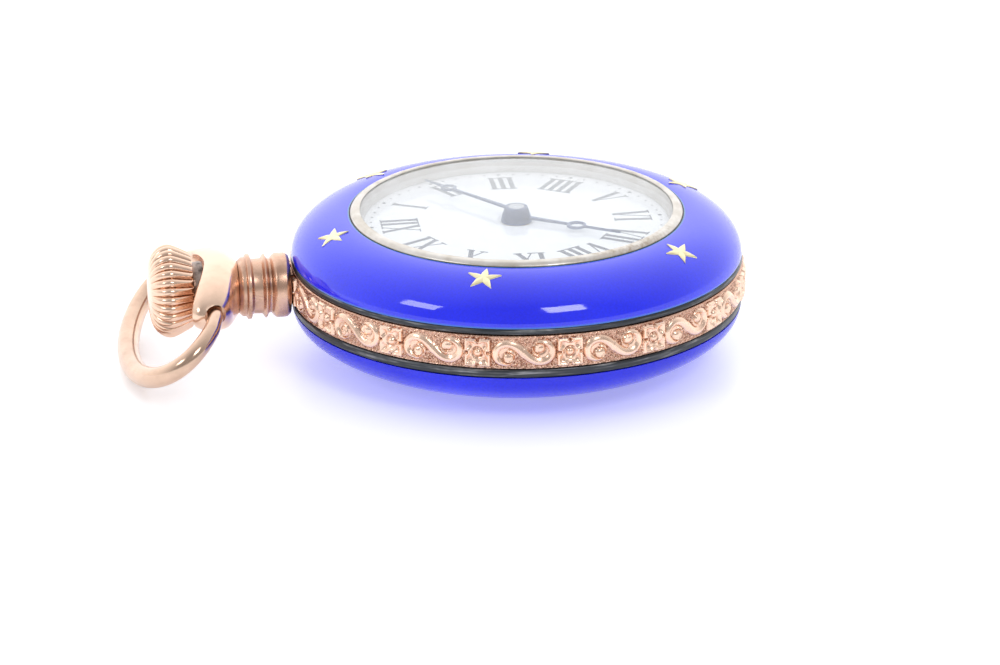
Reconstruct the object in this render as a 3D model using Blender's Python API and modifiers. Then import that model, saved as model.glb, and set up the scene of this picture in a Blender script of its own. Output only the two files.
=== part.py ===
"""Open-face fob watch in an enamelled case: case, bow, crown, dial and movement.

Frame: metres, +Z up with the dial facing up, the pendant and XII along +Y.
The origin is the middle of the flat spot on the back that the watch lies on.
"""
import math

import bmesh
import bpy
from mathutils import Vector

MM = 0.001

# Driving dimensions, in millimetres.
CASE_R = 14.0            # radius of the enamelled case
BAND_R = 14.25           # radius over the chased gold band
BAND_HALF = 1.06         # half the height of the band
BAND_Z = 4.83            # height of the band's middle above the resting face
BEZEL_FOOT = 1.42        # top of the bezel's metal rim, above the band's middle
BEZEL_INNER_R = 10.36    # inner edge of the bezel's enamel
BEZEL_TOP = 4.03         # height of that edge above the band's middle
BACK_RIM = 1.65          # lower rim of the back cover, below the band's middle
FLAT_R = 5.5             # radius of the flat spot on the back
ENAMEL = 0.35            # thickness of the enamel
SHELL = 0.37             # thickness of the metal under the enamel
GAP = 0.03               # clearance between pieces that touch
FIT = 0.05               # clearance of a piece that turns or slides
DIAL_R = 10.3
DIAL_TOP = BAND_Z + 3.30
DIAL_THICK = 0.40
PLATE_R = 11.2           # ten-ligne movement
PLATE_BOTTOM = 5.95
PLATE_TOP = 7.00
BRIDGE_TOP = 3.50        # the train runs between here and PLATE_BOTTOM
BRIDGE_BOTTOM = 2.70
STEPS = 32               # facets of every case ring, so that their flats line up
HINGE_X = 14.35          # both case hinges are at 3 o'clock
HINGE_R = 0.42           # radius of a hinge knuckle
BEZEL_HINGE_Z = BAND_Z + BAND_HALF + 0.02
BACK_HINGE_Z = BAND_Z - BAND_HALF - 0.02
BOW_PIVOT_Y = 19.2
BOW_HALF_WIDTH = 8.0     # bow's centre line: a wide oval through both pivots
BOW_HALF_DEPTH = 3.77
BOW_CENTRE = 2.73        # from the pivots to the middle of the oval
BOW_WIRE_R = 0.69
BOW_TILT = math.radians(39.3)   # the bow rests on the table
CROWN_BACK_Y = 20.25
CROWN_R = 2.9
CROWN_FLUTES = 30
MINUTE_ANGLE = 35.4      # minute hand's direction, degrees from +X
HOUR_ANGLE = 235.4
STARS = ((101.2, 11.94), (161.6, 11.78), (226.2, 12.06), (289.5, 11.9), (345.5, 11.9),
         (41.5, 11.9))   # direction in degrees from +X, and distance from the middle
STAR_SIZE = 1.05
STAR_WAIST = 0.45        # share of its size at a star's inner corners

# Centres of the movement's arbors.
BARREL = (-3.2, 3.3)
THIRD = (3.2, 1.0)
FOURTH = (3.8, -1.6)
ESCAPE = (3.2, -3.95)
PALLET = (1.5, -4.9)
BALANCE = (-1.9, -6.2)
MINUTE_WORK = (0.0, 2.35)
CROWN_WHEEL = (-0.05, 6.72)

for old in list(bpy.data.objects):
    bpy.data.objects.remove(old, do_unlink=True)

watch = bpy.data.collections.new("fob_watch")
cutters = bpy.data.collections.new("cutters")
bpy.context.scene.collection.children.link(watch)
bpy.context.scene.collection.children.link(cutters)


# ---------------------------------------------------------------- materials

def material(name, colour, metallic, roughness):
    mat = bpy.data.materials.new(name)
    mat.use_nodes = True
    shader = mat.node_tree.nodes["Principled BSDF"]
    shader.inputs["Base Color"].default_value = (*colour, 1.0)
    shader.inputs["Metallic"].default_value = metallic
    shader.inputs["Roughness"].default_value = roughness
    return mat


BLUE_ENAMEL = material("blue_enamel", (0.03, 0.03, 0.72), 0.0, 0.08)
ROSE_GOLD = material("rose_gold", (0.80, 0.50, 0.38), 1.0, 0.3)
PALE_GOLD = material("pale_gold", (0.86, 0.80, 0.55), 1.0, 0.35)
DARK_METAL = material("oxidised_silver", (0.10, 0.10, 0.11), 0.9, 0.4)
SILVER = material("silver", (0.70, 0.68, 0.65), 1.0, 0.4)
WHITE_ENAMEL = material("white_enamel", (0.93, 0.94, 0.95), 0.0, 0.15)
GLASS = material("glass", (0.90, 0.93, 0.95), 0.0, 0.02)
BLUED_STEEL = material("blued_steel", (0.02, 0.03, 0.12), 1.0, 0.25)
STEEL = material("steel", (0.55, 0.55, 0.56), 1.0, 0.3)
BRASS = material("brass", (0.72, 0.55, 0.25), 1.0, 0.3)


# ---------------------------------------------------------------- modelling helpers

def add(name, data, mat, collection=watch):
    obj = bpy.data.objects.new(name, data)
    data.materials.append(mat)
    collection.objects.link(obj)
    return obj


def turned(name, profile, mat, closed=True, steps=STEPS, at=(0, 0, 0), along_y=False,
           collection=watch):
    """Turn a profile of (radius, height) points, which runs down its outer side."""
    mesh = bpy.data.meshes.new(name)
    count = len(profile)
    edges = [(i, (i + 1) % count) for i in range(count if closed else count - 1)]
    mesh.from_pydata([(r * MM, 0, z * MM) for r, z in profile], edges, [])
    obj = add(name, mesh, mat, collection)
    screw = obj.modifiers.new("turn", "SCREW")
    screw.steps = steps
    screw.render_steps = steps
    screw.use_merge_vertices = True
    screw.merge_threshold = 1e-6
    screw.use_smooth_shade = False
    obj.location = Vector(at) * MM
    if along_y:
        obj.rotation_euler = (-math.pi / 2, 0, 0)
    return obj


def drum(name, radius, low, high, mat, steps=24, at=(0, 0), bore=0.0, collection=watch):
    """A plain disc or shaft along Z, with a bore where one is given."""
    if bore:
        profile = [(radius, high), (radius, low), (bore, low), (bore, high)]
        return turned(name, profile, mat, True, steps, (*at, 0), False, collection)
    profile = [(0, high), (radius, high), (radius, low), (0, low)]
    return turned(name, profile, mat, False, steps, (*at, 0), False, collection)


def shaft_y(name, radius, start, end, mat, steps=16, at_x=0.0, at_z=BAND_Z, bore=0.0,
            collection=watch):
    """A shaft or tube along Y."""
    if bore:
        profile = [(radius, end), (radius, start), (bore, start), (bore, end)]
    else:
        profile = [(0, end), (radius, end), (radius, start), (0, start)]
    return turned(name, profile, mat, bool(bore), steps, (at_x, 0, at_z), True, collection)


def plate(name, outline, low, high, mat, holes=(), at=(0, 0), collection=watch):
    """A flat piece: an outline, with holes, extruded from low to high."""
    curve = bpy.data.curves.new(name, "CURVE")
    curve.dimensions = "2D"
    curve.fill_mode = "BOTH"
    curve.extrude = (high - low) / 2 * MM
    for loop in (outline, *holes):
        spline = curve.splines.new("POLY")
        spline.points.add(len(loop) - 1)
        for point, (x, y) in zip(spline.points, loop):
            point.co = (x * MM, y * MM, 0, 1)
        spline.use_cyclic_u = True
    rough = bpy.data.objects.new(name + "_outline", curve)
    rough.location = (at[0] * MM, at[1] * MM, (low + high) / 2 * MM)
    cutters.objects.link(rough)
    bpy.context.view_layer.update()
    mesh = bpy.data.meshes.new_from_object(rough.evaluated_get(
        bpy.context.evaluated_depsgraph_get()))
    place = rough.matrix_world.copy()
    bpy.data.objects.remove(rough, do_unlink=True)
    clean = bmesh.new()
    clean.from_mesh(mesh)
    bmesh.ops.remove_doubles(clean, verts=clean.verts, dist=1e-7)
    bmesh.ops.recalc_face_normals(clean, faces=clean.faces)
    clean.to_mesh(mesh)
    clean.free()
    mesh.name = name
    mesh.materials.clear()
    obj = add(name, mesh, mat, collection)
    obj.matrix_world = place
    return obj


def loft(name, rings, mat):
    """A closed solid through rings of equal point counts, capped flat at both ends."""
    mesh = bpy.data.meshes.new(name)
    build = bmesh.new()
    loops = [[build.verts.new(Vector(p) * MM) for p in ring] for ring in rings]
    for lower, upper in zip(loops, loops[1:]):
        for i in range(len(lower)):
            j = (i + 1) % len(lower)
            build.faces.new((lower[i], lower[j], upper[j], upper[i]))
    build.faces.new(loops[0])
    build.faces.new(loops[-1])
    bmesh.ops.recalc_face_normals(build, faces=build.faces)
    build.to_mesh(mesh)
    build.free()
    return add(name, mesh, mat)


def combine(obj, tool, operation):
    """Cut or join with a helper solid, which stays out of the model."""
    for linked in list(tool.users_collection):
        linked.objects.unlink(tool)
    cutters.objects.link(tool)
    tool.hide_render = True
    tool.display_type = "WIRE"
    mod = obj.modifiers.new(operation.lower(), "BOOLEAN")
    mod.object = tool
    mod.operation = operation


def scoop_for_hinge(obj, height):
    """Room for a row of hinge knuckles, at 3 o'clock."""
    room = shaft_y(obj.name + "_scoop", HINGE_R + FIT, -2.55, 2.55, STEEL, 12, HINGE_X, height)
    combine(obj, room, "DIFFERENCE")


def circle(radius, count, centre=(0, 0), start=0.0):
    return [(centre[0] + radius * math.cos(start + math.tau * i / count),
             centre[1] + radius * math.sin(start + math.tau * i / count))
            for i in range(count)]


def arc(radius, start, end, count, centre=(0, 0)):
    """Points along an arc, angles in degrees."""
    points = []
    for i in range(count + 1):
        angle = math.radians(start + (end - start) * i / count)
        points.append((centre[0] + radius * math.cos(angle),
                       centre[1] + radius * math.sin(angle)))
    return points


def quarter(centre_r, centre_z, half_r, half_z, count, down=False):
    """Quarter of an ellipse from its outermost point to its top, or to its bottom."""
    sign = -1 if down else 1
    return [(centre_r + half_r * math.cos(math.pi / 2 * i / count),
             centre_z + sign * half_z * math.sin(math.pi / 2 * i / count))
            for i in range(count + 1)]


def gear_outline(tip, teeth, depth):
    """Trapezoid teeth on a wheel of the given tip radius."""
    points = []
    for i in range(teeth):
        for share, radius in ((0.05, tip - depth), (0.30, tip), (0.55, tip), (0.80, tip - depth)):
            angle = math.tau * (i + share) / teeth
            points.append((radius * math.cos(angle), radius * math.sin(angle)))
    return points


def gear(name, tip, teeth, low, high, mat, at, bore=0.0, depth=0.22):
    holes = [circle(bore, 12)] if bore else []
    return plate(name, gear_outline(tip, teeth, depth), low, high, mat, holes, at)


def arbor(obj, radius, low, high, at, steps=10):
    """Join a shaft to a wheel."""
    combine(obj, drum(obj.name + "_arbor", radius, low, high, STEEL, steps, at), "UNION")


# ---------------------------------------------------------------- case

def case_middle():
    ring = [(12.20, 2.00), (12.20, BAND_HALF), (13.27, BAND_HALF), (13.27, -BAND_HALF),
            (12.35, -BAND_HALF), (12.35, -1.80), (11.60, -1.80), (11.60, 0.75),
            (10.90, 0.75), (10.90, 1.09), (11.25, 1.09), (11.25, 2.00)]
    obj = turned("case_middle", [(r, z + BAND_Z) for r, z in ring], ROSE_GOLD)
    hole = shaft_y("case_pendant_hole", 1.10, 9.0, 16.0, ROSE_GOLD)
    combine(obj, hole, "DIFFERENCE")


def gold_band():
    ring = [(13.30, BAND_HALF), (BAND_R - 0.15, BAND_HALF), (BAND_R, BAND_HALF - 0.12),
            (BAND_R, 0.12 - BAND_HALF), (BAND_R - 0.15, -BAND_HALF), (13.30, -BAND_HALF)]
    obj = turned("gold_band", [(r, z + BAND_Z) for r, z in ring], ROSE_GOLD)
    hole = shaft_y("band_pendant_hole", 1.10, 9.0, 16.0, ROSE_GOLD)
    combine(obj, hole, "DIFFERENCE")
    scoop_for_hinge(obj, BEZEL_HINGE_Z)
    scoop_for_hinge(obj, BACK_HINGE_Z)


def bezel():
    base = BAND_Z + BEZEL_FOOT
    half_r = CASE_R - BEZEL_INNER_R
    half_z = BEZEL_TOP - BEZEL_FOOT - 0.04
    skin = ENAMEL + GAP
    inside = skin + SHELL
    bottom = BAND_Z + BAND_HALF + GAP
    outer = quarter(BEZEL_INNER_R + 0.04, base, half_r - skin - 0.04, half_z - skin, 5)
    inner = quarter(BEZEL_INNER_R + 0.04, base, half_r - inside - 0.04, half_z - inside, 3)
    rim = [(CASE_R - 0.02, base), (CASE_R - 0.02, bottom), (12.95, bottom)]
    obj = turned("bezel", outer[::-1] + rim + inner, DARK_METAL)
    scoop_for_hinge(obj, BEZEL_HINGE_Z)

    base += 0.04
    outer = quarter(BEZEL_INNER_R, base, half_r, half_z, 6)
    inner = quarter(BEZEL_INNER_R, base, half_r - ENAMEL, half_z - ENAMEL, 5)
    obj = turned("bezel_enamel", outer[::-1] + inner, BLUE_ENAMEL)
    scoop_for_hinge(obj, BEZEL_HINGE_Z)


def crystal_and_ring():
    ring = [(9.86, 4.27), (10.08, 4.22), (10.33, 4.00), (10.33, 3.55), (10.15, 3.36),
            (9.45, 3.36), (9.52, 3.80), (9.82, 4.00)]
    turned("crystal_ring", [(r, z + BAND_Z) for r, z in ring], SILVER)
    edge, low, rise, thick = 9.78, 4.03, 1.17, 0.45
    top = [(edge * i / 4, low + 0.17 + (rise - 0.17) * (1 - (i / 4) ** 2)) for i in range(5)]
    under = [(9.3 * i / 3, low + (rise - thick) * (1 - (i / 3) ** 2)) for i in range(4)]
    profile = top + [(edge, low)] + under[::-1]
    turned("crystal", [(r, z + BAND_Z) for r, z in profile], GLASS, closed=False)


def bezel_surface(radius):
    """Height and slope of the bezel's enamel at a radius."""
    half_r = CASE_R - BEZEL_INNER_R
    half_z = BEZEL_TOP - BEZEL_FOOT - 0.04
    across = (radius - BEZEL_INNER_R) / half_r
    rise = math.sqrt(1 - across ** 2)
    slope = -half_z * across / (half_r * rise)
    return BAND_Z + BEZEL_FOOT + 0.04 + half_z * rise, math.atan(slope)


def stars():
    """Gold stars on the bezel, each lying in the plane that touches the enamel under it."""
    outline = []
    for i in range(10):
        reach = STAR_SIZE if i % 2 == 0 else STAR_SIZE * STAR_WAIST
        outline.append((reach * math.cos(math.tau * i / 10), reach * math.sin(math.tau * i / 10)))
    for number, (angle, radius) in enumerate(STARS, 1):
        height, slope = bezel_surface(radius)
        star = plate(f"star_{number}", outline, 0.04, 0.12, PALE_GOLD)
        place = bpy.data.objects.new(f"star_{number}_seat", None)
        watch.objects.link(place)
        turn = math.radians(angle)
        place.location = Vector((radius * math.cos(turn), radius * math.sin(turn), height)) * MM
        place.rotation_euler = (0, -slope, turn)
        star.parent = place


def back_cover():
    rim = BAND_Z - BACK_RIM
    half_r = CASE_R - FLAT_R
    skin = ENAMEL + GAP
    inside = skin + SHELL
    outer = quarter(FLAT_R, rim, half_r, rim, 6, down=True)
    inner = quarter(FLAT_R, rim, half_r - ENAMEL, rim - ENAMEL, 5, down=True)
    turned("back_enamel", [(0, ENAMEL)] + inner[::-1] + outer + [(0, 0)], BLUE_ENAMEL,
           closed=False)
    top = BAND_Z - BAND_HALF - GAP
    rim += GAP
    outer = quarter(FLAT_R, rim, half_r - skin, rim - skin - GAP, 5, down=True)
    inner = quarter(FLAT_R, rim, half_r - inside, rim - inside - GAP, 3, down=True)
    edge = [(13.0, top), (CASE_R - 0.02, top), (CASE_R - 0.02, rim)]
    obj = turned("back_cover", [(0, inside)] + inner[::-1] + edge + outer + [(0, skin)],
                 DARK_METAL, closed=False)
    scoop_for_hinge(obj, BACK_HINGE_Z)


def cuvette():
    """The inner dust cover, which snaps on the lip of the case middle."""
    rim = BAND_Z - 1.95
    flat = 5.0
    depth = 1.93
    outer = quarter(flat, rim, 7.4, depth, 4, down=True)
    inner = quarter(flat, rim, 7.15, depth - 0.25, 3, down=True)
    turned("cuvette", [(0, rim - depth + 0.25)] + inner[::-1] + outer + [(0, rim - depth)],
           ROSE_GOLD, closed=False)


def hinges():
    """Two knuckle hinges: one for the bezel, one that the back and the cuvette share."""
    rows = {
        "bezel_hinge": (BEZEL_HINGE_Z,
                        {"case_knuckle_1": (-2.4, -0.85), "bezel_knuckle": (-0.8, 0.8),
                         "case_knuckle_2": (0.85, 2.4)}),
        "back_hinge": (BACK_HINGE_Z,
                       {"case_knuckle_3": (-2.4, -1.25), "back_knuckle": (-1.2, 0.2),
                        "cuvette_knuckle": (0.25, 1.2), "case_knuckle_4": (1.25, 2.4)}),
    }
    for name, (height, knuckles) in rows.items():
        shaft_y(name + "_pin", 0.17, -2.5, 2.5, STEEL, 8, HINGE_X, height)
        for knuckle, (start, end) in knuckles.items():
            shaft_y(knuckle, HINGE_R, start, end, ROSE_GOLD, 12, HINGE_X, height, 0.21)


# ---------------------------------------------------------------- pendant, crown and bow

def pendant():
    """Turned neck: a collar at the case, a bead, a thin disc and a waist."""
    outer = [(1.05, 11.9), (1.05, BAND_R + 0.03), (1.85, BAND_R + 0.03), (2.0, 14.5),
             (2.0, 15.3), (1.75, 15.5), (1.95, 15.8), (1.6, 16.1), (1.6, 16.5),
             (2.05, 16.7), (2.05, 16.95), (1.55, 17.15), (1.55, 17.4)]
    bore = [(0.62, 17.4), (0.62, 11.9)]
    turned("pendant", outer[::-1] + bore[::-1], ROSE_GOLD, True, 24, (0, 0, BAND_Z), True)


def boss_ring(y_side, y_saddle, half_x, half_z, count=28):
    """One section of the boss: an oval whose sides reach further out than its saddles."""
    ring = []
    for i in range(count):
        angle = math.tau * i / count
        side = abs(math.cos(angle)) ** 1.5
        y = y_saddle + (y_side - y_saddle) * side
        ring.append((half_x * math.cos(angle), y, BAND_Z + half_z * math.sin(angle)))
    return ring


def bow_boss():
    """Flared head of the pendant, with an ear at each side for the bow."""
    rings = [boss_ring(17.43, 17.43, 1.75, 1.6), boss_ring(17.75, 17.7, 2.9, 1.8),
             boss_ring(18.3, 18.1, 4.4, 1.98), boss_ring(19.1, 18.6, 5.0, 2.05),
             boss_ring(20.1, 19.2, 5.05, 2.0), boss_ring(20.6, 19.45, 4.6, 1.85),
             boss_ring(19.3, 19.3, 1.0, 1.0)]
    obj = loft("bow_boss", rings, ROSE_GOLD)
    combine(obj, shaft_y("boss_bore", 1.35, 16.5, 21.0, STEEL, 16), "DIFFERENCE")
    combine(obj, shaft_y("boss_socket", 1.85, 19.4, 21.0, STEEL, 16), "DIFFERENCE")
    combine(obj, shaft_y("crown_room", 3.0, 19.95, 21.0, STEEL, 24), "DIFFERENCE")
    for side in (-1, 1):
        hole = drum(f"ear_hole_{side + 2}", 0.62, 3.6, 7.0, STEEL, 12)
        hole.rotation_euler = (0, side * math.pi / 2, 0)
        hole.location = Vector((0, BOW_PIVOT_Y, BAND_Z)) * MM
        combine(obj, hole, "DIFFERENCE")


def crown():
    """Fluted winding crown, hollow behind, with its core in the hollow."""
    profile = [(21.35, 1.28, 0), (CROWN_BACK_Y + 0.2, 1.28, 0),
               (CROWN_BACK_Y, 2.2, 0.12), (20.9, 2.6, 0.16), (21.55, CROWN_R, 0.2),
               (22.2, 2.68, 0.2), (22.75, 2.0, 0.1), (22.95, 1.0, 0.0)]
    count = CROWN_FLUTES * 2
    rings = []
    for y, radius, flute in profile:
        ring = []
        for i in range(count):
            reach = radius - (flute if i % 2 else 0)
            angle = math.tau * i / count
            ring.append((reach * math.cos(angle), y, BAND_Z + reach * math.sin(angle)))
        rings.append(ring)
    loft("crown", rings, ROSE_GOLD)
    core = [(0, 21.3), (1.2, 21.3), (1.2, CROWN_BACK_Y - 0.04), (1.72, CROWN_BACK_Y - 0.04),
            (1.72, 19.55), (1.2, 19.55), (1.2, 18.7), (0, 18.7)]
    turned("crown_core", core, STEEL, False, 16, (0, 0, BAND_Z), True)


def bow():
    """Oval wire ring, thickest at its far end, tilted down until it rests on the table."""
    count = 30
    first = math.acos(-BOW_CENTRE / BOW_HALF_DEPTH)
    curve = bpy.data.curves.new("bow", "CURVE")
    curve.dimensions = "3D"
    curve.bevel_depth = BOW_WIRE_R * MM
    curve.bevel_resolution = 2
    curve.use_fill_caps = True
    spline = curve.splines.new("POLY")
    points = []
    for i in range(count + 1):
        angle = -first + 2 * first * i / count
        reach = BOW_CENTRE + BOW_HALF_DEPTH * math.cos(angle)
        points.append((BOW_HALF_WIDTH * math.sin(angle), reach))
    ends = [(-4.35, 0.0), (-5.1, 0.0)]
    points = ends + points[1:-1] + [(-x, y) for x, y in reversed(ends)]
    spline.points.add(len(points) - 1)
    for point, (x, reach) in zip(spline.points, points):
        point.co = (x * MM, reach * math.cos(BOW_TILT) * MM, -reach * math.sin(BOW_TILT) * MM, 1)
        point.radius = 0.70 + 0.30 * min(1.0, reach / (BOW_CENTRE + BOW_HALF_DEPTH))
    obj = add("bow", curve, ROSE_GOLD)
    obj.location = Vector((0, BOW_PIVOT_Y, BAND_Z)) * MM


# ---------------------------------------------------------------- dial, hands, motion work

def hand(name, length, ring_at, ring_r, boss_r, bore, low, high, angle):
    """Blued hand: a boss, a slim blade, a pierced ring and a pointed tip."""
    half = 0.16
    neck = math.degrees(math.asin(half / boss_r))
    spread = math.degrees(math.asin(half / ring_r))
    lower = arc(ring_r, 180 + spread, 360 - spread * 0.8, 8, (ring_at, 0))
    upper = arc(ring_r, spread * 0.8, 180 - spread, 8, (ring_at, 0))
    outline = arc(boss_r, neck, 360 - neck, 14) + lower + [(length, 0)] + upper
    turn = math.radians(angle)

    def spin(loop):
        return [(x * math.cos(turn) - y * math.sin(turn),
                 x * math.sin(turn) + y * math.cos(turn)) for x, y in loop]

    holes = [spin(circle(bore, 12)),
             spin(circle(ring_r - 0.2, 12, (ring_at + 0.05, 0)))]
    plate(name, spin(outline), low, high, BLUED_STEEL, holes)


def dial_and_hands():
    bottom = DIAL_TOP - DIAL_THICK
    drum("dial", DIAL_R, bottom, DIAL_TOP, WHITE_ENAMEL, STEPS, bore=0.95)
    hand("hour_hand", 7.1, 4.1, 0.58, 0.86, 0.79, 8.42, 8.60, HOUR_ANGLE)
    hand("minute_hand", 8.3, 6.1, 0.52, 0.80, 0.54, 8.78, 8.94, MINUTE_ANGLE)
    turned("cannon_pinion", [(0, 9.14), (0.5, 9.14), (0.5, 7.9), (0.62, 7.75), (0.62, 7.1),
                             (0, 7.1)], BLUED_STEEL, False, 12)
    wheel = gear("hour_wheel", 1.95, 18, 7.42, 7.6, BRASS, (0, 0), 0.66)
    tube = drum("hour_tube", 0.76, 7.5, 8.68, BRASS, 12, bore=0.66)
    combine(wheel, tube, "UNION")
    wheel = gear("minute_wheel", 1.65, 16, 7.12, 7.3, BRASS, MINUTE_WORK)
    arbor(wheel, 0.33, 7.06, 7.62, MINUTE_WORK)


# ---------------------------------------------------------------- movement

def main_plate():
    rim = [(PLATE_R, PLATE_TOP), (PLATE_R, PLATE_BOTTOM), (0.9, PLATE_BOTTOM),
           (0.9, PLATE_TOP), (9.3, PLATE_TOP), (9.3, 7.68), (10.2, 7.68), (10.2, PLATE_TOP)]
    turned("main_plate", rim, BRASS)


def bridge(name, outline, pillars, holes=()):
    obj = plate(name, outline, BRIDGE_BOTTOM, BRIDGE_TOP, BRASS, holes)
    for number, spot in enumerate(pillars):
        pillar = drum(f"{name}_pillar_{number}", 0.55, BRIDGE_TOP - 0.2, PLATE_BOTTOM - GAP,
                      BRASS, 10, spot)
        combine(obj, pillar, "UNION")


def bridges():
    barrel = arc(10.4, 18, 162, 18) + [(-9.0, 1.2), (-3.0, 0.6), (0.0, 1.2), (4.5, 3.0)]
    bridge("barrel_bridge", barrel, [(-9.0, 4.2), (7.6, 5.8)], [circle(0.55, 12, BARREL)])
    train = arc(10.4, -42, 12, 9) + [(4.6, 2.1), (0.6, 0.7), (-0.8, 0.3), (-0.8, -0.9),
                                     (1.0, -1.6), (2.4, -4.6), (4.2, -5.6)]
    bridge("train_bridge", train, [(8.9, -0.6), (7.2, -5.6)])
    cock = arc(10.4, 215, 240, 6) + arc(0.9, -60, 120, 8, BALANCE)
    bridge("balance_cock", cock, [(-7.6, -6.9)])
    plate("pallet_bridge", [(0.9, -4.3), (4.6, -7.0), (5.3, -6.3), (2.2, -4.4), (1.5, -4.1)],
          5.15, 5.45, BRASS)


def barrel_group():
    drum_cup = [(3.3, 5.75), (3.3, 4.3), (3.08, 4.3), (3.08, 5.5), (0.55, 5.5), (0.55, 5.75)]
    cup = turned("barrel", drum_cup, BRASS, True, 24, (*BARREL, 0))
    teeth = gear("barrel_teeth", 3.7, 28, 5.3, 5.6, BRASS, BARREL, 3.2, 0.25)
    combine(cup, teeth, "UNION")
    drum("barrel_lid", 3.03, 4.3, 4.5, BRASS, 24, BARREL, 0.55)
    drum("barrel_arbor", 0.48, 2.25, 5.85, STEEL, 12, BARREL)

    turns, inner, outer, thick = 3, 0.85, 2.9, 0.16
    count = 14 * turns
    away, back = [], []
    for i in range(count + 1):
        radius = inner + (outer - inner) * i / count
        angle = math.tau * turns * i / count
        away.append((radius * math.cos(angle), radius * math.sin(angle)))
        radius -= thick
        back.append((radius * math.cos(angle), radius * math.sin(angle)))
    plate("mainspring", away + back[::-1], 4.55, 5.4, STEEL, (), BARREL)

    gear("ratchet_wheel", 2.6, 20, 2.3, 2.62, STEEL, BARREL, 0.53, 0.3)
    gear("crown_wheel", 2.0, 16, 2.3, 2.62, STEEL, CROWN_WHEEL, 0.0, 0.3)
    plate("click", [(-6.9, 1.5), (-6.3, 1.0), (-5.3, 1.05), (-5.05, 1.35), (-5.9, 1.5),
                    (-6.4, 2.0), (-6.9, 2.0)], 2.3, 2.6, STEEL)


def going_train():
    low, high = BRIDGE_TOP + 0.05, PLATE_BOTTOM - 0.05
    wheel = gear("centre_wheel", 2.8, 24, 3.95, 4.12, BRASS, (0, 0))
    arbor(wheel, 0.85, 5.3, high, (0, 0), 12)
    arbor(wheel, 0.45, low, 7.05, (0, 0))
    wheel = gear("third_wheel", 2.2, 20, 4.7, 4.86, BRASS, THIRD)
    arbor(wheel, 0.42, low, high, THIRD)
    wheel = gear("fourth_wheel", 2.0, 20, 5.2, 5.36, BRASS, FOURTH)
    arbor(wheel, 0.36, low, high, FOURTH)
    wheel = gear("escape_wheel", 1.4, 15, 4.7, 4.86, STEEL, ESCAPE, 0.0, 0.3)
    arbor(wheel, 0.3, low, high, ESCAPE)


def escapement():
    reach = Vector(BALANCE) - Vector(PALLET)
    heading = reach.normalized()
    side = Vector((-heading.y, heading.x))
    away = reach.length - 0.75
    back = -heading
    tail = [heading * away + side * 0.25, heading * (away - 0.5) + side * 0.16,
            heading * 0.4 + side * 0.14]
    arm = [side * 0.95 + heading * 0.25, side * 1.0 + back * 0.35, side * 0.7 + back * 0.35,
           side * 0.6]
    other_arm = [p - side * 2 * p.dot(side) for p in reversed(arm)]
    other_tail = [p - side * 2 * p.dot(side) for p in reversed(tail)]
    notch = heading * (away - 0.2)
    outline = [(p.x, p.y) for p in tail + arm + other_arm + other_tail + [notch]]
    fork = plate("pallet_fork", outline, 4.68, 4.88, STEEL, (), PALLET)
    arbor(fork, 0.16, BRIDGE_TOP + 0.05, 5.12, PALLET, 8)

    rim = turned("balance_wheel", [(3.3, 4.15), (3.3, 3.75), (2.95, 3.75), (2.95, 4.15)],
                 BRASS, True, 32, (*BALANCE, 0))
    bar = plate("balance_arms", [(-3.0, -0.22), (3.0, -0.22), (3.0, 0.22), (-3.0, 0.22)],
                3.85, 4.05, BRASS, (), BALANCE)
    combine(rim, bar, "UNION")
    arbor(rim, 0.2, BRIDGE_TOP + 0.05, PLATE_BOTTOM - 0.05, BALANCE, 8)
    roller = drum("balance_roller", 0.42, 4.66, 4.86, STEEL, 12, BALANCE)
    combine(rim, roller, "UNION")

    curve = bpy.data.curves.new("hairspring", "CURVE")
    curve.dimensions = "3D"
    curve.bevel_depth = 0.045 * MM
    curve.bevel_resolution = 0
    curve.use_fill_caps = True
    spline = curve.splines.new("POLY")
    turns, per_turn = 4, 12
    spline.points.add(turns * per_turn)
    for i, point in enumerate(spline.points):
        angle = math.tau * i / per_turn
        radius = 0.45 + 1.45 * i / (turns * per_turn)
        point.co = (radius * math.cos(angle) * MM, radius * math.sin(angle) * MM, 0, 1)
    coil = add("hairspring", curve, BLUED_STEEL)
    coil.location = Vector((*BALANCE, 3.66)) * MM


def winding_work():
    shaft_y("winding_stem", 0.42, 6.6, 18.6, STEEL, 12)
    shaft_y("winding_pinion", 0.9, 7.85, 8.75, STEEL, 16, bore=0.46)
    shaft_y("clutch_wheel", 0.8, 6.85, 7.75, STEEL, 16, bore=0.46)
    for number, angle in enumerate((195, 330), 1):
        turn = math.radians(angle)
        drum(f"case_screw_{number}", 0.55, 5.3, PLATE_BOTTOM - GAP, STEEL, 12,
             (10.1 * math.cos(turn), 10.1 * math.sin(turn)))


case_middle()
gold_band()
bezel()
crystal_and_ring()
stars()
back_cover()
cuvette()
hinges()
pendant()
bow_boss()
crown()
bow()
dial_and_hands()
main_plate()
bridges()
barrel_group()
going_train()
escapement()
winding_work()
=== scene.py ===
"""Looks of the enamelled fob watch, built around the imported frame. Lengths in millimetres."""
import math

import bmesh
import bpy
import numpy as np
from mathutils import Matrix, Quaternion, Vector


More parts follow.
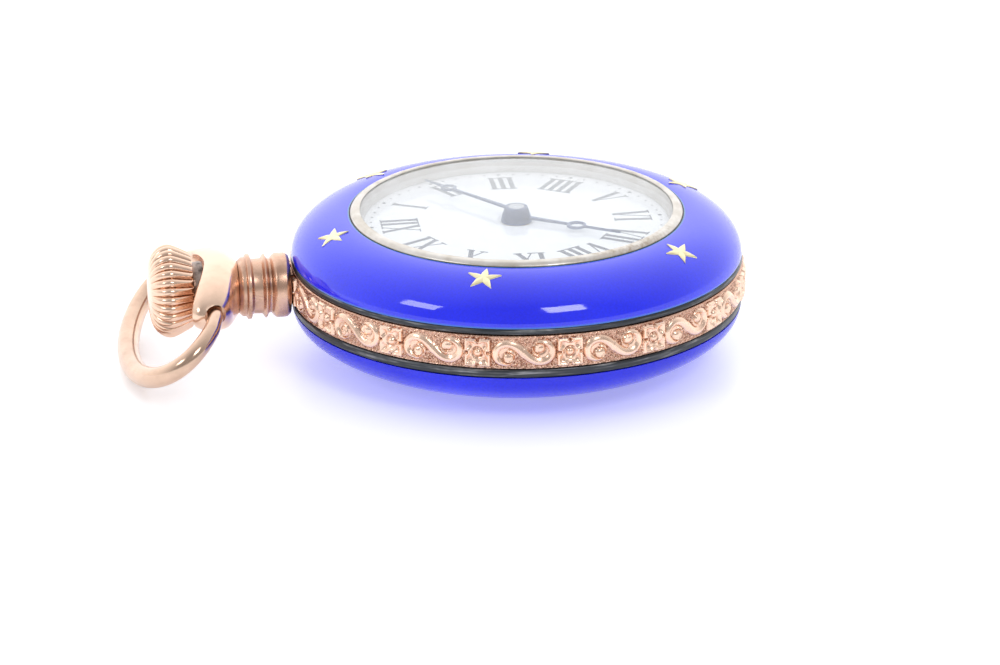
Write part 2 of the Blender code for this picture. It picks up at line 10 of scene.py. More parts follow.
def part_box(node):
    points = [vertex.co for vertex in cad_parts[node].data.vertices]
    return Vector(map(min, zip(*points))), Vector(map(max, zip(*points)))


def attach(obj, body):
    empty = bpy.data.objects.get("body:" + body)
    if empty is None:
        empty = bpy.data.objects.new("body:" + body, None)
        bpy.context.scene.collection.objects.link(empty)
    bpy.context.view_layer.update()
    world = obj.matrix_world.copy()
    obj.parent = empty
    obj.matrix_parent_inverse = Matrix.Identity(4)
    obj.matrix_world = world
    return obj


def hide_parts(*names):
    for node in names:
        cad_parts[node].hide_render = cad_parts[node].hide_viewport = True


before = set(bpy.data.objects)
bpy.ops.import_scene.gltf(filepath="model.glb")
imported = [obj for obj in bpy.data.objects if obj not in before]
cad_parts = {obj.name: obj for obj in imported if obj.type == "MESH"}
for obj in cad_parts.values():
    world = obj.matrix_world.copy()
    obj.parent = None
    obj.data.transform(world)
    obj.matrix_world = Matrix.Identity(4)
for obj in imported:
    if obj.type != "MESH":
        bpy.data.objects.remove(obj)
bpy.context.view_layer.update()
MM = 0.001
TAU = math.tau


# ---------------------------------------------------------------- sizes read from the frame

def extent(node):
    """Lowest and highest corner of a CAD node, in millimetres."""
    low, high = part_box(node)
    return Vector(low) / MM, Vector(high) / MM


band_low, band_high = extent("gold_band")
enamel_low, enamel_high = extent("bezel_enamel")
back_low, back_high = extent("back_enamel")
cover_high = extent("back_cover")[1]
bezel_low = extent("bezel")[0]
dial_low, dial_high = extent("dial")
ring_low, ring_high = extent("crystal_ring")
pendant_high = extent("pendant")[1]
crown_low, crown_high = extent("crown")
core_low, core_high = extent("crown_core")

BAND_Z = (band_low.z + band_high.z) / 2
BAND_HALF = (band_high.z - band_low.z) / 2
CASE_R = -enamel_low.x
BAND_R = -band_low.x
DIAL_TOP = dial_high.z
DIAL_R = dial_high.y
HINGE_X = (extent("bezel_hinge_pin")[0].x + extent("bezel_hinge_pin")[1].x) / 2
HINGE_Z = {name: (extent(name)[0].z + extent(name)[1].z) / 2
           for name in ("bezel_hinge_pin", "back_hinge_pin")}
HINGE_R = extent("bezel_knuckle")[1].x - HINGE_X

BEZEL_INNER_R = 10.36    # inner edge of the bezel's enamel
ENAMEL = 0.35            # thickness of the enamel
DIAL_TURN = -1.6         # the dial sits a little clockwise of the pendant, in degrees
MOTIFS = 16              # repeats of the band's pattern
MOTIF_TURN = 4.1         # direction of the flower next to the pendant, from +Y
STARS = ((101.2, 11.94, 29), (161.6, 11.78, 33.5), (226.2, 12.06, 35), (289.5, 11.9, 38),
         (345.5, 11.9, 34), (41.5, 11.9, 37))   # direction, distance, spin
SEAM = 0.03              # gap between an enamel skin and the metal under it
LINING_WALL = 0.37       # thickness of the silver under the enamel
BAND_INNER_R = 13.32     # inner face of the band
PIVOT_Y = 19.2           # where the bow's ends turn in the pendant's ears
FLUTES = 30              # of the crown
NUMERAL_FOOT = 6.05      # distance of the numerals' feet from the middle of the dial
DOTS_R = 9.0             # circle of the minute dots
BRIDGE_R = 10.4          # outer edge of the bridges
AXIS = 0.02              # where a profile that reaches its axis ends, and is capped
TURN_STEPS = 256


# ---------------------------------------------------------------- node helpers for materials

class Nodes:
    """Short ways to add and join shader nodes."""

    def __init__(self, name):
        self.mat = bpy.data.materials.new(name)
        self.mat.use_nodes = True
        self.tree = self.mat.node_tree
        self.shader = self.tree.nodes["Principled BSDF"]
        self.out = self.tree.nodes["Material Output"]
        self.coords = self.tree.nodes.new("ShaderNodeTexCoord").outputs["Object"]

    def node(self, kind, **values):
        item = self.tree.nodes.new(kind)
        for key, value in values.items():
            setattr(item, key, value)
        return item

    def link(self, source, target):
        self.tree.links.new(source, target)

    def feed(self, socket, value):
        """Give a socket a link, a colour or a number."""
        if isinstance(value, bpy.types.NodeSocket):
            self.link(value, socket)
        else:
            socket.default_value = (*value, 1.0) if isinstance(value, tuple) else value

    def noise(self, per_mm, detail=3.0, rough=0.55, stretch=None):
        """Noise with the given number of bumps per millimetre."""
        item = self.node("ShaderNodeTexNoise")
        item.inputs["Scale"].default_value = per_mm / MM
        item.inputs["Detail"].default_value = detail
        item.inputs["Roughness"].default_value = rough
        if stretch:
            mapping = self.node("ShaderNodeMapping")
            mapping.inputs["Scale"].default_value = stretch
            self.link(self.coords, mapping.inputs["Vector"])
            self.link(mapping.outputs[0], item.inputs["Vector"])
        else:
            self.link(self.coords, item.inputs["Vector"])
        return item.outputs["Fac"]

    def spots(self, per_mm, randomness=1.0):
        """Distance to scattered points, for pits and specks."""
        item = self.node("ShaderNodeTexVoronoi")
        item.inputs["Scale"].default_value = per_mm / MM
        item.inputs["Randomness"].default_value = randomness
        self.link(self.coords, item.inputs["Vector"])
        return item.outputs["Distance"]

    def ramp(self, source, stops):
        item = self.node("ShaderNodeValToRGB")
        while len(item.color_ramp.elements) < len(stops):
            item.color_ramp.elements.new(0.5)
        for element, (place, colour) in zip(item.color_ramp.elements, stops):
            element.position = place
            element.color = (*colour, 1.0) if len(colour) == 3 else colour
        self.link(source, item.inputs[0])
        return item.outputs["Color"]

    def scale(self, source, low, high, from_low=0.0, from_high=1.0):
        item = self.node("ShaderNodeMapRange")
        item.inputs["From Min"].default_value = from_low
        item.inputs["From Max"].default_value = from_high
        item.inputs["To Min"].default_value = low
        item.inputs["To Max"].default_value = high
        self.link(source, item.inputs["Value"])
        return item.outputs["Result"]

    def mix(self, factor, first, second, blend="MIX"):
        item = self.node("ShaderNodeMix", data_type="RGBA", blend_type=blend)
        for value, socket in ((factor, item.inputs[0]), (first, item.inputs[6]),
                              (second, item.inputs[7])):
            self.feed(socket, value)
        return item.outputs[2]

    def near(self, place, fade, strength):
        """Strength at a place in millimetres, fading to nothing between two distances."""
        away = self.node("ShaderNodeVectorMath", operation="DISTANCE")
        away.inputs[1].default_value = tuple(c * MM for c in place)
        self.link(self.coords, away.inputs[0])
        return self.scale(away.outputs["Value"], strength, 0.0, fade[0] * MM, fade[1] * MM)

    def blend(self, factor, first, second):
        """Mix of two shaders."""
        item = self.node("ShaderNodeMixShader")
        for socket, source in zip(item.inputs, (factor, first, second)):
            self.link(source, socket)
        return item.outputs[0]

    def attribute(self, name):
        return self.node("ShaderNodeAttribute", attribute_name=name).outputs["Fac"]

    def bump(self, height, depth, strength=1.0):
        item = self.node("ShaderNodeBump")
        item.inputs["Strength"].default_value = strength
        item.inputs["Distance"].default_value = depth * MM
        self.link(height, item.inputs["Height"])
        self.link(item.outputs[0], self.shader.inputs["Normal"])
        return item

    def set(self, **values):
        for name, value in values.items():
            self.feed(self.shader.inputs[name.replace("_", " ")], value)


def enamel_material(name, deep, pale, gloss, painted_glint_edges=False):
    """Glossy fired enamel: colour drifts a little, with pin-prick pits and faint ripples."""
    n = Nodes(name)
    drift = n.noise(0.12, 2.0)
    colour = n.mix(n.scale(drift, 0.0, 1.0, 0.3, 0.7), deep, pale)
    colour = n.mix(n.scale(n.noise(7.0, 2.0), 0.0, 0.35, 0.35, 0.75), colour,
                   tuple(c * 0.6 for c in deep))
    pit = n.ramp(n.spots(0.9), [(0.0, (1, 1, 1)), (0.025, (1, 1, 1)), (0.05, (0, 0, 0))])
    sparse = n.ramp(n.noise(0.35, 1.0), [(0.56, (0, 0, 0)), (0.62, (1, 1, 1))])
    speck = n.mix(1.0, pit, sparse, "MULTIPLY")
    colour = n.mix(speck, colour, tuple(c * 0.35 for c in deep))
    # painted highlight: a cyan glint painted along the enamel's inner edge and along its foot
    if painted_glint_edges:
        split = n.node("ShaderNodeSeparateXYZ")
        n.link(n.coords, split.inputs[0])
        flat = n.node("ShaderNodeVectorMath", operation="LENGTH")
        joined = n.node("ShaderNodeCombineXYZ")
        for axis in "XY":
            n.link(split.outputs[axis], joined.inputs[axis])
        n.link(joined.outputs[0], flat.inputs[0])
        inner = n.scale(flat.outputs["Value"], 1.0, 0.0, (BEZEL_INNER_R + 0.05) * MM,
                        (BEZEL_INNER_R + 0.13) * MM)
        foot = n.scale(split.outputs["Z"], 0.8, 0.0, (enamel_low.z + 0.02) * MM,
                       (enamel_low.z + 0.16) * MM)
        edge = n.mix(1.0, inner, foot, "ADD")
        colour = n.mix(edge, colour, (0.02, 0.20, 0.52))
    scratch = n.noise(1.6, 2.0, 0.5, (1.0, 0.06, 1.0))
    n.set(Base_Color=colour, Roughness=n.scale(scratch, 0.035, 0.10, 0.35, 0.75),
          Specular_IOR_Level=gloss)
    n.bump(n.noise(0.22, 2.0), 0.022, 0.5)
    return n.mat


def metal_material(name, bright, dark, rough=0.25, grain=6.0, grime=0.5, cavity=None,
                   polish=0.006, patches=0.5):
    """Old worn metal: browned in patches, and darker in its hollows."""
    n = Nodes(name)
    patch = n.noise(patches, 4.0, 0.6)
    fine = n.noise(grain, 3.0, 0.6)
    dirt = n.scale(patch, 0.0, grime, 0.42, 0.78)
    # painted shade, partly dirt: the low ground of a relief is darkened, speckled with grain
    if cavity:
        hollow = n.scale(n.attribute(cavity), 1.0, 0.0, 0.0, 0.80)
        speckle = n.scale(n.noise(grain, 2.0, 0.6), 0.45, 1.0, 0.35, 0.65)
        dirt = n.mix(1.0, dirt, n.mix(1.0, hollow, speckle, "MULTIPLY"), "ADD")
    else:
        # darker on concave edges and in hollows, read from the mesh's pointiness
        edge = n.node("ShaderNodeNewGeometry").outputs["Pointiness"]
        hollow = n.scale(edge, 0.8, 0.0, 0.44, 0.5)
        dirt = n.mix(1.0, dirt, hollow, "ADD")
    colour = n.mix(dirt, bright, dark)
    n.set(Base_Color=colour, Metallic=1.0, Roughness=n.scale(fine, rough * 0.7, rough * 1.5))
    n.bump(fine, polish, 0.35)
    return n.mat


def rim_material():
    """Blackened silver, rubbed and scratched along the edge."""
    n = Nodes("oxidised_silver")
    lines = n.noise(3.0, 3.0, 0.6, (0.12, 0.12, 2.5))
    patch = n.noise(0.7, 3.0)
    worn = n.mix(1.0, n.scale(lines, 0.0, 1.0, 0.50, 0.72), n.scale(patch, 0.2, 1.0, 0.4, 0.7),
                 "MULTIPLY")
    n.set(Base_Color=n.mix(worn, (0.055, 0.060, 0.068), (0.42, 0.42, 0.43)), Metallic=0.9,
          Roughness=n.scale(lines, 0.22, 0.5))
    n.bump(lines, 0.012, 0.5)
    return n.mat


def ring_material():
    """Cream tarnished silver, browned with dirt along its lip near VIII."""
    n = Nodes("tarnished_silver")
    base = n.mix(n.scale(n.noise(0.8, 4.0), 0.0, 1.0, 0.35, 0.75), (0.70, 0.665, 0.62),
                 (0.52, 0.47, 0.40))
    zone = n.near((-8.2, -5.6, ring_high.z), (0.5, 6.0), 0.75)
    grain = n.scale(n.noise(2.6, 5.0, 0.7), 0.0, 1.0, 0.46, 0.72)
    dirt = n.mix(1.0, zone, grain, "MULTIPLY")
    colour = n.mix(dirt, base, (0.30, 0.19, 0.09))
    n.set(Base_Color=colour, Metallic=0.85, Roughness=n.scale(grain, 0.30, 0.55))
    n.bump(grain, 0.012, 0.4)
    return n.mat


def glass_material():
    """Thin clear glass: lets light straight through, and mirrors at a grazing angle."""
    n = Nodes("watch_glass")
    clear = n.node("ShaderNodeBsdfTransparent")
    clear.inputs["Color"].default_value = (0.965, 0.975, 0.985, 1.0)
    gloss = n.node("ShaderNodeBsdfGlossy")
    smear = n.noise(0.5, 3.0)
    n.link(n.scale(smear, 0.0, 0.03, 0.4, 0.8), gloss.inputs["Roughness"])
    inside = n.node("ShaderNodeNewGeometry").outputs["Backfacing"]
    edge = n.node("ShaderNodeFresnel")
    n.link(n.scale(inside, 1.5, 1 / 1.5), edge.inputs["IOR"])
    dust = n.node("ShaderNodeBsdfDiffuse")
    dust.inputs["Color"].default_value = (0.96, 0.97, 1.0, 1.0)
    film = n.blend(n.scale(n.noise(0.3, 3.0), 0.07, 0.15, 0.35, 0.7), clear.outputs[0],
                   dust.outputs[0])
    n.link(n.blend(edge.outputs[0], film, gloss.outputs[0]), n.out.inputs["Surface"])
    return n.mat


def dial_material():
    """White fired enamel with dust and rust specks round VIII, and a faint painted glow."""
    n = Nodes("dial_white_painted_glow")
    base = n.mix(n.scale(n.noise(0.2, 2.0), 0.0, 1.0), (0.97, 0.97, 0.98), (0.99, 0.99, 0.99))
    zone = n.near((-5.0, -7.2, DIAL_TOP), (0.6, 3.8), 1.0)
    dots = n.ramp(n.spots(3.4), [(0.10, (1, 1, 1)), (0.26, (0, 0, 0))])
    some = n.ramp(n.noise(2.2, 1.0), [(0.38, (0, 0, 0)), (0.52, (1, 1, 1))])
    rust = n.mix(1.0, n.mix(1.0, dots, some, "MULTIPLY"), zone, "MULTIPLY")
    colour = n.mix(rust, base, (0.33, 0.20, 0.10))
    stray = n.ramp(n.spots(0.8), [(0.02, (1, 1, 1)), (0.045, (0, 0, 0))])
    # the emission is painted light: the dial glows faintly white, though it is no lamp
    n.set(Base_Color=n.mix(n.scale(stray, 0.0, 0.5), colour, (0.25, 0.22, 0.2)),
          Roughness=0.10, Emission_Color=(1.0, 1.0, 1.0), Emission_Strength=0.12)
    n.bump(n.noise(0.25, 2.0), 0.006, 0.3)
    return n.mat


def ink_material():
    n = Nodes("dial_ink")
    n.set(Base_Color=n.mix(n.noise(3.0, 2.0), (0.07, 0.08, 0.11), (0.16, 0.17, 0.21)),
          Roughness=0.35)
    return n.mat


def grained_brass(name, colour, dark, stripe, waves=False):
    """Gilt brass with fine machined graining, and broad polished waves on the bridges."""
    n = Nodes(name)
    lines = n.noise(stripe, 2.0, 0.5, (0.05, 1.0, 0.3))
    patch = n.noise(0.6, 3.0)
    n.set(Base_Color=n.mix(n.scale(patch, 0.0, 0.8, 0.35, 0.8), colour, dark), Metallic=1.0,
          Roughness=n.scale(lines, 0.16, 0.42))
    if waves:
        wave = n.node("ShaderNodeTexWave", wave_type="BANDS", bands_direction="X")
        wave.inputs["Scale"].default_value = 280.0
        n.link(n.coords, wave.inputs["Vector"])
        n.set(Base_Color=n.mix(n.scale(wave.outputs["Color"], 0.0, 0.35), colour, dark))
        lines = n.mix(0.75, lines, wave.outputs["Color"])
    n.bump(lines, 0.09 if waves else 0.01, 0.4)
    return n.mat


def ruby_material():
    n = Nodes("ruby_jewel")
    n.set(Base_Color=n.mix(n.noise(2.0), (0.45, 0.01, 0.05), (0.65, 0.03, 0.10)),
          Roughness=0.05, Coat_Weight=1.0)
    return n.mat


def floor_material():
    n = Nodes("studio_floor")
    n.set(Base_Color=n.mix(n.noise(0.01, 2.0), (0.90, 0.915, 0.94), (0.92, 0.93, 0.95)),
          Roughness=0.30, Specular_IOR_Level=0.4, Emission_Color=(0.96, 0.97, 0.98),
          Emission_Strength=0.34)
    return n.mat


BLUE = enamel_material("royal_blue_enamel", (0.002, 0.007, 0.74), (0.006, 0.018, 0.94), 0.55)
# the bezel's enamel carries the painted cyan glint along its edges
BEZEL_BLUE = enamel_material("bezel_blue_enamel", (0.002, 0.008, 0.86), (0.008, 0.022, 1.0),
                             0.85, True)
GOLD = metal_material("rose_gold", (0.69, 0.485, 0.365), (0.32, 0.17, 0.11), 0.17, 2.0, 0.4,
                      None, 0.002)
WORN = metal_material("rose_gold_worn", (0.74, 0.48, 0.355), (0.26, 0.12, 0.075), 0.26, 2.0, 1.0,
                      None, 0.004)
# chased gold: raised chasing light, low ground dark, partly dirt and partly painted shade in the
# recesses
CHASED = metal_material("rose_gold_chased", (0.98, 0.70, 0.54), (0.40, 0.17, 0.11), 0.24,
                        11.0, 0.20, "relief")
# a paler copy of the rose gold with lighter hollows, for the boss and the crown; on the crown it
# is painted light, lifting the shade between the flutes
PALE_GOLD = metal_material("rose_gold_paler", (0.89, 0.63, 0.48), (0.44, 0.24, 0.15), 0.20, 2.0,
                           0.25, None, 0.002)
GREY = metal_material("worn_grey_steel", (0.42, 0.33, 0.29), (0.05, 0.035, 0.03), 0.32, 3.0, 1.3,
                      patches=1.7)
DARK = rim_material()
SILVER = ring_material()
LINING = metal_material("lining_silver", (0.86, 0.83, 0.78), (0.55, 0.48, 0.40), 0.22, 2.0, 0.6)
FOIL = metal_material("gold_foil", (0.92, 0.85, 0.55), (0.50, 0.36, 0.15), 0.30, 7.0, 0.5)
BLUED = metal_material("blued_steel", (0.10, 0.14, 0.27), (0.05, 0.055, 0.09), 0.22)
STEEL = metal_material("polished_steel", (0.60, 0.60, 0.62), (0.25, 0.24, 0.24), 0.2)
GILT = grained_brass("gilt_brass", (0.80, 0.60, 0.28), (0.48, 0.30, 0.12), 5.0)
STRIPED = grained_brass("striped_gilt", (0.84, 0.66, 0.36), (0.60, 0.42, 0.20), 5.0, True)
WHEEL = grained_brass("wheel_brass", (0.84, 0.66, 0.34), (0.60, 0.42, 0.20), 9.0)
GLASS = glass_material()
WHITE = dial_material()
INK = ink_material()
RUBY = ruby_material()


# ---------------------------------------------------------------- mesh helpers

def placed(name, data):
    """A new object in the scene."""
    obj = bpy.data.objects.new(name, data)
    bpy.context.scene.collection.objects.link(obj)
    return obj


def piece(name, shape, mat, body, replaces=(), sharp=35.0):
    """A finished mesh from (points in millimetres, faces), riding on a body of the frame."""
    verts, faces = shape
    mesh = bpy.data.meshes.new(name)
    mesh.from_pydata([tuple(v) for v in np.asarray(verts, float) * MM], [], faces)
    mesh.validate()
    mesh.materials.append(mat)
    return settle(placed(name, mesh), body, replaces, sharp)


def settle(obj, body, replaces=(), sharp=35.0):
    clean = bmesh.new()
    clean.from_mesh(obj.data)
    bmesh.ops.recalc_face_normals(clean, faces=clean.faces)
    clean.to_mesh(obj.data)
    clean.free()
    obj.data.shade_smooth()
    obj.data.set_sharp_from_angle(angle=math.radians(sharp))
    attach(obj, body)
    for node in replaces:
        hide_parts(node)
    return obj


def grid_faces(rows, columns, close_rows=False, close_columns=True):
    """Quads over a grid of points numbered row by row."""
    faces = []
    for i in range(rows if close_rows else rows - 1):
        for j in range(columns if close_columns else columns - 1):
            k, m = (i + 1) % rows, (j + 1) % columns
            faces.append((i * columns + j, i * columns + m, k * columns + m, k * columns + j))
    return faces


def capped(rows, columns):
    """Quads over a grid, with a face over each end."""
    return grid_faces(rows, columns) + [tuple(range(columns)),
                                        tuple(range((rows - 1) * columns, rows * columns))]


def turned(profile, steps=TURN_STEPS, closed=True, axis="Z", centre=(0, 0, 0)):
    """Points and faces of a turned shape. An open profile ends on the axis, or is capped."""
    verts, rows = [], len(profile)
    for r, z in profile:
        for j in range(steps):
            a = TAU * j / steps
            x, y = r * math.cos(a), r * math.sin(a)
            p = (x, y, z) if axis == "Z" else (x, z, -y) if axis == "Y" else (z, x, y)
            verts.append(tuple(c + o for c, o in zip(p, centre)))
    return verts, grid_faces(rows, steps, True) if closed else capped(rows, steps)


def turned_at(at, profile, steps=32, closed=False):
    """A shape turned round an upright axis through a point of the movement."""
    return turned(profile, steps, closed, "Z", (*at, 0))


def turned_y(profile, steps, closed=False):
    """A shape turned round the winding stem's axis."""
    return turned(profile, steps, closed, "Y", (0, 0, BAND_Z))


def fillet(points, radius, closed=True, count=4):
    """Round every corner of a profile. A point may carry its own radius as a third value."""
    out, total = [], len(points)
    for i, point in enumerate(points):
        p = Vector(point[:2])
        size = point[2] if len(point) > 2 else radius
        if (not closed and i in (0, total - 1)) or size <= 0:
            out.append(tuple(p))
            continue
        a = Vector(points[i - 1][:2]) - p
        b = Vector(points[(i + 1) % total][:2]) - p
        reach = min(size, a.length * 0.45, b.length * 0.45)
        a, b = a.normalized() * reach, b.normalized() * reach
        for k in range(count + 1):
            t = k / count
            out.append(tuple(p + a * (1 - t) ** 2 + b * t ** 2))
    return out


def quarter(centre_r, centre_z, half_r, half_z, count=28):
    return [(centre_r + half_r * math.cos(TAU / 4 * i / count),
             centre_z + half_z * math.sin(TAU / 4 * i / count)) for i in range(count + 1)]


def merge(parts):
    """Join several (points, faces) sets."""
    verts, faces = [], []
    for points, quads in parts:
        shift = len(verts)
        verts += list(points)
        faces += [tuple(i + shift for i in face) for face in quads]
    return verts, faces


def moved(part, shift=(0, 0, 0), turn=0.0):
    c, s = math.cos(turn), math.sin(turn)
    return [(x * c - y * s + shift[0], x * s + y * c + shift[1], z + shift[2])
            for x, y, z in part[0]], part[1]


def prism(outline, low, high, bevel=0.0):
    """A flat piece from a convex or star-shaped outline, its edges broken by a small bevel."""
    c = np.mean(outline, axis=0)
    rings = [(1.0, low), (1.0, high)]
    if bevel:
        span = np.abs(np.asarray(outline) - c).max()
        rings = [(1.0, low), (1.0, high - bevel), (1.0 - bevel / span, high)]
    verts = [(*(c + (np.asarray(p) - c) * k), z) for k, z in rings for p in outline]
    return verts, capped(len(rings), len(outline))


def extruded(name, loops, low, high, mat, body, slot, replaces=(), bevel=0.02, at=(0, 0)):
    """A flat piece of any outline, with holes, as a filled and bevelled 2D curve."""
    curve = bpy.data.curves.new(name, "CURVE")
    curve.dimensions = "2D"
    curve.fill_mode = "BOTH"
    curve.extrude = ((high - low) / 2 - bevel) * MM
    curve.bevel_depth = bevel * MM
    curve.bevel_resolution = 1
    curve.offset = -bevel * MM
    for loop in loops:
        spline = curve.splines.new("POLY")
        spline.points.add(len(loop) - 1)
        for point, (x, y) in zip(spline.points, loop):
            point.co = ((x + at[0]) * MM, (y + at[1]) * MM, 0, 1)
        spline.use_cyclic_u = True
    rough = placed(name + "_curve", curve)
    bpy.context.view_layer.update()
    mesh = bpy.data.meshes.new_from_object(
        rough.evaluated_get(bpy.context.evaluated_depsgraph_get()))
    bpy.data.objects.remove(rough, do_unlink=True)
    mesh.transform(Matrix.Translation((0, 0, (low + high) / 2 * MM)))
    clean = bmesh.new()
    clean.from_mesh(mesh)
    bmesh.ops.remove_doubles(clean, verts=clean.verts, dist=1e-8)
    clean.to_mesh(mesh)
    clean.free()
    mesh.materials.clear()
    mesh.materials.append(mat)
    return settle(placed(name, mesh), body, replaces)


def circle(radius, count=48, centre=(0, 0), start=0.0):
    return [(centre[0] + radius * math.cos(start + TAU * i / count),
             centre[1] + radius * math.sin(start + TAU * i / count)) for i in range(count)]


# ---------------------------------------------------------------- case: enamel, rims, band

FOOT_TOP = enamel_low.z
HALF_R = CASE_R - BEZEL_INNER_R
HALF_Z = enamel_high.z - FOOT_TOP


def bezel_surface(radius):
    """Height and slope of the bezel's enamel at a radius."""
    across = (radius - BEZEL_INNER_R) / HALF_R
    rise = math.sqrt(max(1e-6, 1 - across ** 2))
    return FOOT_TOP + HALF_Z * rise, math.atan(-HALF_Z * across / (HALF_R * rise))


def make_bezel():
    outer = quarter(BEZEL_INNER_R, FOOT_TOP, HALF_R, HALF_Z, 40)
    inner = quarter(BEZEL_INNER_R, FOOT_TOP, HALF_R - ENAMEL, HALF_Z - ENAMEL, 12)
    low = (CASE_R - 0.04, FOOT_TOP)
    piece("bezel_enamel_fine", turned([low] + outer[1:] + inner[::-1]), BEZEL_BLUE, "bezel",
          ["bezel_enamel"])

    skin = ENAMEL + SEAM
    shell = skin + LINING_WALL
    start = BEZEL_INNER_R + SEAM
    outer = quarter(start, FOOT_TOP, HALF_R - skin - SEAM, HALF_Z - skin, 16)
    inner = quarter(start, FOOT_TOP, HALF_R - shell - SEAM, HALF_Z - shell, 10)
    rim = fillet([(CASE_R - 0.45, FOOT_TOP, 0), (CASE_R - 0.06, FOOT_TOP - 0.01),
                  (CASE_R + 0.02, FOOT_TOP - 0.12), (CASE_R + 0.03, bezel_low.z + 0.08),
                  (CASE_R - 0.03, bezel_low.z), (CASE_R - 1.0, bezel_low.z, 0)], 0.04, False)
    lip = (start, enamel_high.z - skin)
    piece("bezel_lining", turned(outer[:-1] + [lip] + inner[::-1]), LINING, "bezel")
    piece("bezel_metal_fine", turned(rim + [(CASE_R - shell, FOOT_TOP)]), DARK, "bezel",
          ["bezel"])
    edge = fillet([(BEZEL_INNER_R + 0.015, enamel_high.z - 0.5, 0),
                   (BEZEL_INNER_R + 0.015, enamel_high.z + 0.03),
                   (BEZEL_INNER_R - 0.025, enamel_high.z + 0.03),
                   (BEZEL_INNER_R - 0.025, enamel_high.z - 0.5, 0)], 0.015)
    piece("bezel_inner_line", turned(edge), DARK, "bezel")


def make_crystal():
    top = ring_high.z
    low = ring_low.z
    profile = fillet([(9.45, low, 0.02), (10.12, low, 0.03), (10.31, low + 0.2, 0.05),
                      (10.31, top - 0.18, 0.08), (10.10, top + 0.01, 0.10),
                      (9.78, top + 0.05, 0.05), (9.69, top, 0.02), (9.81, top - 0.05, 0.01),
                      (9.81, top - 0.24, 0.02), (9.55, low + 0.42, 0.08)], 0.05, True, 5)
    piece("crystal_ring_fine", turned(profile), SILVER, "bezel", ["crystal_ring"])
    glass_low, glass_high = extent("crystal")
    edge, thick = glass_high.y, 0.45
    rise = glass_high.z - glass_low.z - 0.17
    domed = [(edge * i / 30, glass_low.z + 0.17 + rise * (1 - (i / 30) ** 2.2))
             for i in range(31)]
    under = [((edge - 0.35) * i / 24, glass_low.z + (rise + 0.17 - thick) * (1 - (i / 24) ** 2.2))
             for i in range(25)]
    profile = [(AXIS, domed[0][1])] + domed[1:] + [(edge, glass_low.z + 0.03)] + under[:0:-1]
    piece("crystal_fine", turned(profile + [(AXIS, under[0][1])], 192, False), GLASS, "bezel",
          ["crystal"])


def make_stars():
    """Five-pointed foil stars with a ridge along each point, bent to the enamel."""
    reach, waist, count = 1.07, 0.41, 20
    for number, (angle, distance, spin) in enumerate(STARS, 1):
        rings = [(1.0, -0.06), (1.0, 0.03), (0.94, 0.07), (0.5, 0.10), (0.12, 0.12)]
        turn = math.radians(angle)
        verts = []
        for share, lift in rings:
            for i in range(count):
                a = TAU * i / count + math.radians(spin)
                tip = abs(((i / 4) % 1.0) - 0.5) * 2
                r = share * 1 / ((1 - tip) / waist + tip / reach)
                x, y = r * math.cos(a), r * math.sin(a)
                radius = distance + x * 0.93
                h = bezel_surface(min(radius, CASE_R - 0.3))[0]
                ridge = 0.03 if i % 4 == 0 else -0.03 if i % 4 == 2 else 0.0
                side = y / radius
                verts.append((radius * math.cos(turn + side), radius * math.sin(turn + side),
                              h + lift + ridge * share))
        piece(f"star_{number}_fine", (verts, capped(len(rings), count)), FOIL, "bezel",
              [f"star_{number}"], 25.0)


def scroll_line(count=110):
    """Half of the lying S, over the top and curling in: place, and half width of the strand."""
    points = []
    for i in range(count + 1):
        phi = math.radians(405) * i / count
        turn_in = max(0.0, phi - 1.2 * math.pi) / math.pi
        r = 0.615 + 0.42 * math.exp(-phi / 0.5) - 0.33 * turn_in ** 1.3
        width = 0.325 - 0.145 * (i / count) ** 0.8
        points.append((-1.04 + r * 1.05 * math.cos(phi), -0.075 + r * math.sin(phi), width))
    return np.array(points)


def flower(x, v):
    """Four petals that fill a square: raised rims, dished inside, round a ball."""
    ax, av = np.abs(x), np.abs(v)
    border = np.minimum(0.80 - ax, 0.88 - av)
    side_slot = np.hypot(np.maximum(0, 0.58 - ax) * 2.0, av) - 0.05
    end_slot = np.hypot(ax, np.maximum(0, 0.74 - av) * 1.6) - 0.07
    edge = np.minimum(border, np.minimum(side_slot, end_slot))
    body = np.clip(edge / 0.05, 0, 1)
    rim = np.exp(-((edge - 0.12) / 0.10) ** 2)
    reach, angle = np.hypot(x, v), np.arctan2(av, ax)
    vein = np.exp(-((angle - math.pi / 4) / 0.2) ** 2)
    vein = vein * np.clip(1 - np.abs(reach - 0.6) / 0.25, 0, 1)
    height = body * np.clip(0.50 - 0.35 * vein + 0.52 * rim, 0, 1)
    groove = np.exp(-((reach - 0.31) / 0.06) ** 2)
    height = height * (1 - 0.9 * groove)
    return np.maximum(height, np.sqrt(np.clip(1 - (reach / 0.25) ** 2, 0, 1)))


def relief(u, v, pitch):
    """Height of the chased pattern, 0 on the ground and 1 at the top, over one repeat."""
    height = flower((u + pitch / 2) % pitch - pitch / 2, v)
    sx = (u % pitch) - pitch / 2
    line = scroll_line()
    for flip in (1, -1):
        best = np.full(sx.shape, 9.0)
        for x, y, width in line:
            best = np.minimum(best, np.hypot(sx - x * flip, v - y * flip) / width)
        ridge = np.clip((1 - best) / 0.25, 0, 1) * (0.48 + 0.56 * np.clip(1 - best, 0, 1))
        inside = np.hypot(sx * flip + 1.04, v * flip + 0.075)
        ridge = np.maximum(ridge, 0.40 * np.clip((0.52 - inside) / 0.15, 0, 1))
        height = np.maximum(height, ridge)
        bx, by = (sx * flip + 0.93) / 0.33, (v * flip + 0.29) / 0.30
        ball = np.sqrt(np.clip(1 - bx ** 2 - by ** 2, 0, 1))
        groove = np.exp(-((np.hypot(bx, by) - 1.12) / 0.14) ** 2)
        height = np.maximum(height * (1 - 0.75 * groove), ball * 0.95)
    return height


